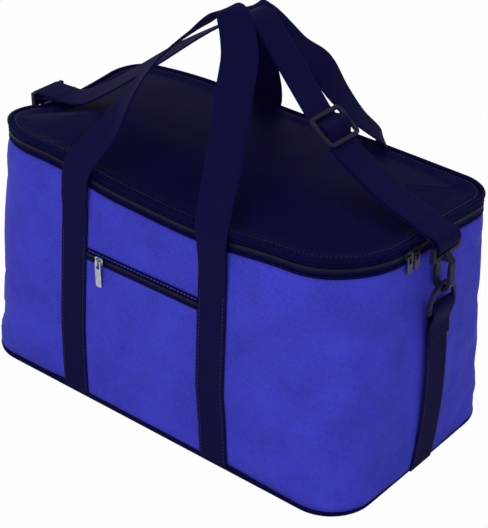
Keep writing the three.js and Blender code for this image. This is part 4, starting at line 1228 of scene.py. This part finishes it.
def handle_path(bag, row):
    """Centres and width directions of a handle: up its right leg, over the top and down the other."""
    tub, webbing = bag.tub, bag.webbing
    lift = CLEAR + webbing.thickness / 2
    free_y = plan(tub, webbing.pivot)[1] + 2 * CLEAR + 1.5 * webbing.thickness
    legs = {1: [], -1: []}
    for i in range(LEG_STEPS):
        z = webbing.leg_foot + (webbing.pivot - webbing.leg_foot) * i / LEG_STEPS
        on_wall = plan(tub, z)[1] + lift - FOOT_TUCK * (1 - float(smooth_step(0.0, FOOT_RISE, z)))
        away = float(smooth_step(webbing.pivot - LEG_LEAVES, webbing.pivot, z))
        for hand, leg in legs.items():
            leg.append((leg_x(row, hand, z), on_wall + (free_y - on_wall) * away, z))
    knots = [(leg_x(row, 1, webbing.pivot), free_y, webbing.pivot)]
    knots += [(x / 1000, min(y / 1000, free_y), z / 1000) for x, y, z, turn in FREE_LOOPS[row]]
    knots = np.array(knots + [(leg_x(row, -1, webbing.pivot), free_y, webbing.pivot)])
    knot_turns = [0.0, *(turn for x, y, z, turn in FREE_LOOPS[row]), 180.0]
    places = np.linspace(0.0, 1.0, LOOP_STEPS + 1)
    loop = [catmull_rom(knots, t) for t in places]
    turns = np.interp(places, np.linspace(0.0, 1.0, len(knots)), knot_turns)
    turns = np.convolve(np.pad(turns, TURN_EASE, mode="edge"), np.ones(2 * TURN_EASE + 1), "valid")
    turns = np.radians(turns / (2 * TURN_EASE + 1))
    centres = np.vstack([legs[1], loop, legs[-1][::-1]])
    turns = np.concatenate([np.zeros(LEG_STEPS), turns, np.full(LEG_STEPS, math.pi)])
    across = np.column_stack([-np.cos(turns), np.sin(turns), np.zeros(len(turns))])
    side = np.array([1, -1 if row == "front" else 1, 1])
    return centres * side, across * side


class FOODBAG_OT_handles(bpy.types.Operator):
    """Makes the two carrying handles, each one length of webbing from foot to foot"""
    bl_idname = "foodbag.handles"
    bl_label = "Handles"

    def execute(self, context):
        bag = context.scene.food_bag
        for row in FREE_LOOPS:
            centres, across = handle_path(bag, row)
            strip = webbing_strip(context, f"{row}_handle_webbing", bag, centres, across)
            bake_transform(strip)
            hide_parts(f"{row}_handle_leg_left", f"{row}_handle_leg_right", f"{row}_handle_loop")
        return {"FINISHED"}


def arc(cx, cz, radius, start, end, steps=20):
    turns = np.radians(np.linspace(start, end, steps + 1))
    return np.column_stack([cx + radius * np.cos(turns), cz + radius * np.sin(turns)])


def bezier(points, steps):
    """Points of a Bezier curve of any degree."""
    t = np.linspace(0, 1, steps + 1)[:, None]
    level = [np.asarray(p, float) * np.ones_like(t) for p in points]
    while len(level) > 1:
        level = [a * (1 - t) + b * t for a, b in zip(level, level[1:])]
    return level[0]


def moved_right(path, distances):
    """A path in the XZ plane moved to its right-hand side."""
    along = unit(np.gradient(path, axis=0))
    return path + np.column_stack([along[:, 1], -along[:, 0]]) * np.asarray(distances)[:, None]


def fold_spread(strap, webbing, wrap, from_bar):
    """Distance between two folded layers: wide round a bar, and close further on."""
    close = webbing.thickness + strap.layer
    return 2 * wrap + (close - 2 * wrap) * smooth_step(0.0, strap.spread, from_bar)


def flat_strip(context, name, bag, path, twists=None):
    """Webbing that follows a path in the XZ plane, and may twist about it."""
    keep = np.concatenate([[True], np.linalg.norm(np.diff(path, axis=0), axis=1) > 1e-5])
    path = path[keep]
    centres = np.column_stack([path[:, 0], np.zeros(len(path)), path[:, 1]])
    twists = np.zeros(len(path)) if twists is None else twists[keep]
    along = unit(np.gradient(path, axis=0))
    across = np.column_stack([-along[:, 1] * np.sin(twists), np.cos(twists), along[:, 0] * np.sin(twists)])
    return webbing_strip(context, name, bag, centres, across)


class FOODBAG_OT_end_straps(bpy.types.Operator):
    """Makes the webbing that carries a D-ring on each end, and finishes the rings"""
    bl_idname = "foodbag.end_straps"
    bl_label = "End straps"

    def execute(self, context):
        bag = context.scene.food_bag
        path = end_strap_path(bag)
        for hand, sign in (("right", 1), ("left", -1)):
            strip = flat_strip(context, f"end_strap_webbing_{hand}", bag, path * np.array([sign, 1]))
            carry(strip, "tub", "navy_webbing", f"end_strap_{hand}")
            dress(f"d_ring_{hand}", "navy_plastic", context, 0.0004)
        return {"FINISHED"}


def end_strap_path(bag):
    """Up the right-hand end, away to the D-ring's bar, over it and down again."""
    tub, webbing, strap = bag.tub, bag.webbing, bag.strap
    lift = CLEAR + webbing.thickness / 2

    def on_wall(z):
        return np.array([end_x(tub, z) + lift, z])

    sewn = np.array([on_wall(z) for z in np.linspace(webbing.leg_foot, strap.sewn, 30)])
    bar = np.array([strap.ring_x - strap.ring_wrap, strap.ring_z])
    rise = (strap.ring_z - strap.sewn) / 2
    free = bezier([sewn[-1], on_wall(strap.sewn + rise), bar - (0, rise), bar], 24)[1:]
    up = np.vstack([sewn, free])
    from_bar = lengths_along(up)[-1] - lengths_along(up)
    down = moved_right(up, fold_spread(strap, webbing, strap.ring_wrap, from_bar))[from_bar < strap.fold][::-1]
    over = arc(strap.ring_x, strap.ring_z, strap.ring_wrap, 180, 0)[1:-1]
    return np.vstack([up, over, down])


class FOODBAG_OT_shoulder_strap(bpy.types.Operator):
    """Makes the shoulder strap, and finishes its adjuster and hooks"""
    bl_idname = "foodbag.shoulder_strap"
    bl_label = "Shoulder strap"

    def execute(self, context):
        bag = context.scene.food_bag
        strip = flat_strip(context, "shoulder_webbing", bag, *shoulder_path(bag))
        carry(strip, "strap", "navy_webbing", "shoulder_strap")
        dress("strap_adjuster", "navy_plastic", context, 0.0005)
        for hand in ("left", "right"):
            dress(f"hook_{hand}", "navy_plastic", context, 0.0006)
            dress(f"hook_gate_{hand}", "navy_plastic", context, 0.0004)
        return {"FINISHED"}


def over_edge(bag, side, top):
    """From a hook's eye, past the lid's edge, to the start of the straight run."""
    tub, lid, strap = bag.tub, bag.lid, bag.strap
    bar = np.array([side * (strap.ring_x + strap.eye_wrap), strap.eye_z])
    edge = zip_heights(tub, lid)["edge"] + lid.piping
    low, bend = (strap.press, strap.bend / 5) if side < 0 else (0.0, strap.bend)
    inside = np.array([side * (tub.rim_length / 2 - strap.inside), edge + strap.over - low])
    along = unit(top - inside)
    return bezier([bar, bar + (0, bend), inside - along * bend, inside], 24)


def round_adjuster(bag, top, end):
    """The strap's way over the adjuster's middle bar, the way of its folded end round that bar, and the point from
    which it goes on to the lid's edge."""
    webbing, strap = bag.webbing, bag.strap
    along = unit(end - top)
    up = np.array([-along[1], along[0]])
    level = strap.bar_depth / 2 + CLEAR + webbing.thickness / 2
    wrap = math.hypot(strap.bar, strap.bar_depth) / 2 + CLEAR + webbing.thickness / 2
    hump = wrap + webbing.thickness + CLEAR
    sine, cosine = math.sin(strap.hump), math.cos(strap.hump)
    reach = hump * sine + (hump * cosine + level) / sine * cosine
    lead = reach + webbing.thickness + strap.bar + strap.lead
    centre = top + along * strap.adjuster + up * (level - strap.adjuster_sag)
    slope = math.degrees(strap.hump)

    def placed(points):
        return centre + points[:, :1] * along + points[:, 1:] * up

    over_bar = placed(np.vstack([[(-lead, -level), (-reach, -level)], arc(0, 0, hump, 90 + slope, 90 - slope),
                                 [(reach, -level)]]))
    round_bar = placed(arc(0, 0, wrap, 270, 90 - slope))
    return over_bar, round_bar, placed(np.array([(lead, -level)]))[0]


def shoulder_path(bag):
    """The strap from its sewn tail at the left eye, over the top and the adjuster, round the right eye and back,
    and its twist at each point."""
    webbing, strap = bag.webbing, bag.strap
    top = np.array([strap.top_x, strap.top])

    left_edge = over_edge(bag, -1, top)
    foot = left_edge[-1]
    left_turn = top - unit(top - foot) * strap.turn
    bends = foot + (strap.rest, strap.rest_rise), foot + (strap.climb, strap.climb_rise)
    left_run = bezier([foot, *bends, left_turn], 40)[1:]
    left = np.vstack([left_edge, left_run])
    from_bar = lengths_along(left)
    tail = moved_right(left, fold_spread(strap, webbing, strap.eye_wrap, from_bar))[from_bar < strap.tail][::-1]
    left_eye = arc(-strap.ring_x, strap.eye_z, strap.eye_wrap, 360, 180)[1:-1]

    right_edge = over_edge(bag, 1, top)[::-1]
    over_bar, round_bar, tip = round_adjuster(bag, top, right_edge[0])
    dip = (tip + right_edge[0]) / 2 - (0, strap.low_sag)
    lower = np.vstack([over_bar[-1:], bezier([tip, dip, right_edge[0]], 30)[:-1]])
    right = np.vstack([lower, right_edge])
    to_bar = lengths_along(right)[-1] - lengths_along(right)
    back = moved_right(right, fold_spread(strap, webbing, strap.eye_wrap, to_bar))[::-1]
    right_eye = arc(strap.ring_x, strap.eye_z, strap.eye_wrap, 0, -180)[1:-1]
    turn = bezier([left_turn, top, top + unit(over_bar[0] - top) * strap.turn], 20)[1:]
    upper = np.linspace(turn[-1], over_bar[0], 30)[1:-1]
    before = [tail, left_eye, left_edge]
    after = [turn, upper, over_bar, right[1:], right_eye, back, round_bar]
    t = np.linspace(0, 1, len(left_run))
    twisted = strap.twist * smooth_step(0.0, 0.3, t) * (1 - smooth_step(0.7, 1.0, t))
    twists = np.concatenate([np.zeros(sum(map(len, before))), twisted, np.zeros(sum(map(len, after)))])
    return np.vstack([*before, left_run, *after]), twists


# Stitches

STITCH_LENGTH = 0.0026
STITCH_GAP = 0.0014
STITCH_RADIUS = 0.00032
STITCH_LIFT = STITCH_RADIUS * 0.3

# Height at which the stitches on webbing start, where those on the legs end, and their distance from its edge
STITCH_FOOT = 0.010
LEG_STITCH_TOP = 0.176
STITCH_INSET = 0.0028


def on_face(points, facing):
    """A line of stitches: its points, and the way out of the cloth at each."""
    return np.array(points), np.tile(facing, (len(points), 1))


def stitches(context, name, lines, finish):
    """Rows of thread lying on cloth. Each line is (points, outward directions)."""
    pitch = STITCH_LENGTH + STITCH_GAP
    rows = []
    for points, out in lines:
        centres, along = evenly(points, pitch, pitch / 2)
        lengths = lengths_along(points)
        places = np.arange(pitch / 2, lengths[-1], pitch)
        facing = np.column_stack([np.interp(places, lengths, out[:, k]) for k in range(3)])
        rows.append((centres, along, unit(facing)))
    centres, along, out = (np.vstack(part) for part in zip(*rows))
    side = np.cross(out, along)
    half, r = STITCH_LENGTH / 2, STITCH_RADIUS
    shape = [(-half, -r * 0.6, -r), (half, -r * 0.6, -r), (half, r * 0.6, -r), (-half, r * 0.6, -r),
             (-half * 0.7, -r, r), (half * 0.7, -r, r), (half * 0.7, r, r), (-half * 0.7, r, r)]
    return boxes(context, name, centres, along, side, out, shape, finish)


class FOODBAG_OT_stitching(bpy.types.Operator):
    """Makes the thread along the handles' legs, the end straps, the pocket and the lid's edge"""
    bl_idname = "foodbag.stitching"
    bl_label = "Stitching"

    def execute(self, context):
        bag = context.scene.food_bag
        webbing_lines = self.leg_lines(bag) + self.end_lines(bag)
        thread = stitches(context, "webbing_stitches", webbing_lines, "navy_thread")
        carry(thread, "tub", "navy_webbing")
        pocket = stitches(context, "pocket_stitches", self.pocket_lines(bag), "blue_thread")
        carry(pocket, "tub", "blue_cloth")
        edge = stitches(context, "lid_stitches", self.lid_lines(bag), "navy_thread")
        carry(edge, "lid", "navy_cloth")
        return {"FINISHED"}

    def leg_lines(self, bag):
        tub, webbing = bag.tub, bag.webbing
        lift = CLEAR + webbing.thickness + STITCH_LIFT
        lines = []
        heights = np.linspace(STITCH_FOOT, LEG_STITCH_TOP, 40)
        for row, hand in LEGS:
            side = -1 if row == "front" else 1
            for edge in (-1, 1):
                across = edge * (webbing.width / 2 - STITCH_INSET)
                lines.append(on_face([(leg_x(row, hand, z) + across, side * (plan(tub, z)[1] + lift), z)
                                      for z in heights], [0.0, side, 0.0]))
        return lines

    def end_lines(self, bag):
        tub, webbing = bag.tub, bag.webbing
        lift = CLEAR + webbing.thickness + STITCH_LIFT
        lines = []
        heights = np.linspace(STITCH_FOOT, bag.strap.sewn - 0.004, 30)
        for hand in (-1, 1):
            for edge in (-1, 1):
                y = edge * (webbing.width / 2 - STITCH_INSET)
                lines.append(on_face([(hand * (end_x(tub, z) + lift), y, z) for z in heights], [hand, 0.0, 0.0]))
        return lines

    def pocket_lines(self, bag):
        tub, pocket = bag.tub, bag.pocket
        lift = CLEAR + tub.cloth + STITCH_LIFT
        lines = []
        for z in (pocket.zip_z - pocket.teeth / 2 - pocket.tape - 0.0022,
                  pocket.zip_z + pocket.teeth / 2 + pocket.tape - 0.0012):
            left, right = pocket_sides(bag, z)
            xs = np.linspace(left + 0.0015, right - 0.0015, 20)
            lines.append(on_face([(x, -(plan(tub, z)[1] + lift), z) for x in xs], [0.0, -1.0, 0.0]))
        return lines

    def lid_lines(self, bag):
        tub, lid = bag.tub, bag.lid
        panel_z = zip_heights(tub, lid)["edge"] + lid.piping / 2
        row = lid_row(tub, lid, panel_start(lid) + 0.0032, panel_z, 1.0)
        row[:, 2] += STITCH_LIFT
        return [on_face(np.vstack([row, row[:1]]), [0.0, 0.0, 1.0])]


# Stage

FLOOR_HALF = 6.0
FLOOR_VEIL = 0.965
LAMP_TARGET = (0, 0, 0.12)
LAMPS = (
    ("key_light", (0.25, -2.0, 1.7), 21.5, 1.6, (1.0, 0.99, 0.97)),
    ("end_light", (2.2, -1.1, 1.3), 4.0, 1.4, (1.0, 0.99, 0.98)),
    ("top_light", (0.2, 0.9, 2.2), 5.0, 1.6, (0.97, 0.98, 1.0)),
)


class FOODBAG_OT_stage(bpy.types.Operator):
    """Makes the pale floor, the soft light and the camera"""
    bl_idname = "foodbag.stage"
    bl_label = "Stage"

    def execute(self, context):
        stage = context.scene.food_bag.stage
        context.scene.view_settings.view_transform = "Standard"
        self.make_floor(context)
        self.make_world(context)
        for name, place, energy, width, tone in LAMPS:
            self.make_lamp(context, name, place, energy, width, tone)
        flat = math.cos(stage.elevation) * stage.distance
        target = Vector(stage.target)
        place = target + Vector((math.sin(stage.azimuth) * flat, -math.cos(stage.azimuth) * flat,
                                 math.sin(stage.elevation) * stage.distance))
        camera = bpy.data.cameras.new("camera")
        camera.lens = stage.lens
        camera.sensor_width = 36.0
        camera.clip_end = 50.0
        seat = bpy.data.objects.new("camera", camera)
        seat.location = place
        seat.rotation_euler = (target - place).to_track_quat("-Z", "Y").to_euler()
        context.scene.collection.objects.link(seat)
        context.scene.camera = seat
        return {"FINISHED"}

    def make_floor(self, context):
        graph = new_finish("pale_floor")
        white = graph.add("ShaderNodeEmission", inputs={"Color": (1, 1, 1, 1), "Strength": 1.0})
        shade = graph.add("ShaderNodeBsdfDiffuse", inputs={"Color": (0.86, 0.86, 0.86, 1)})
        seen = graph.add("ShaderNodeLightPath", output="Is Camera Ray")
        mix = graph.add("ShaderNodeMixShader", inputs={0: seen * FLOOR_VEIL, 1: shade, 2: white})
        graph.feed(graph.tree.nodes["Material Output"].inputs["Surface"], mix)
        corners = [(x * FLOOR_HALF, y * FLOOR_HALF, 0) for x, y in ((-1, -1), (1, -1), (1, 1), (-1, 1))]
        floor = add_object(context, "floor", corners, [[0, 1, 2, 3]], "pale_floor", smooth=False)

    def make_world(self, context):
        world = bpy.data.worlds.new("studio")
        context.scene.world = world
        graph = Graph(world)
        graph.tree.nodes.remove(graph.tree.nodes["Background"])
        soft = graph.add("ShaderNodeBackground", inputs={"Color": (0.97, 0.98, 1.0, 1), "Strength": 0.6})
        white = graph.add("ShaderNodeBackground", inputs={"Strength": 1.0})
        seen = graph.add("ShaderNodeLightPath", output="Is Camera Ray")
        mix = graph.add("ShaderNodeMixShader", inputs={0: seen, 1: soft, 2: white})
        graph.feed(graph.tree.nodes["World Output"].inputs["Surface"], mix)

    def make_lamp(self, context, name, place, energy, width, tone):
        lamp = bpy.data.lights.new(name, "AREA")
        lamp.energy = energy
        lamp.size = width
        lamp.color = tone
        seat = bpy.data.objects.new(name, lamp)
        seat.location = place
        seat.rotation_euler = (Vector(LAMP_TARGET) - Vector(place)).to_track_quat("-Z", "Y").to_euler()
        context.scene.collection.objects.link(seat)


class FOODBAG_PT_panel(bpy.types.Panel):
    """Lists the food bag's pieces"""
    bl_idname = "FOODBAG_PT_panel"
    bl_label = "Food Bag"
    bl_space_type = "VIEW_3D"
    bl_region_type = "UI"
    bl_category = "Food Bag"

    def draw(self, context):
        for operator in PIECES:
            self.layout.operator(operator.bl_idname)


PIECES = (FOODBAG_OT_stage, FOODBAG_OT_tub, FOODBAG_OT_lining, FOODBAG_OT_lid, FOODBAG_OT_zips, FOODBAG_OT_pocket,
          FOODBAG_OT_handles, FOODBAG_OT_end_straps, FOODBAG_OT_shoulder_strap, FOODBAG_OT_stitching)
GROUPS = (FoodBagTub, FoodBagLid, FoodBagWebbing, FoodBagStrap, FoodBagPocket, FoodBagColours, FoodBagStage,
          FoodBagSettings)
CLASSES = GROUPS + PIECES + (FOODBAG_PT_panel,)


def register():
    for item in CLASSES:
        bpy.utils.register_class(item)
    bpy.types.Scene.food_bag = PointerProperty(type=FoodBagSettings)


def unregister():
    del bpy.types.Scene.food_bag
    for item in reversed(CLASSES):
        bpy.utils.unregister_class(item)


def main():
    register()
    bpy.ops.foodbag.stage()
    bpy.ops.foodbag.tub()
    bpy.ops.foodbag.lining()
    bpy.ops.foodbag.lid()
    bpy.ops.foodbag.zips()
    bpy.ops.foodbag.pocket()
    bpy.ops.foodbag.handles()
    bpy.ops.foodbag.end_straps()
    bpy.ops.foodbag.shoulder_strap()
    bpy.ops.foodbag.stitching()


if __name__ == "__main__":
    main()
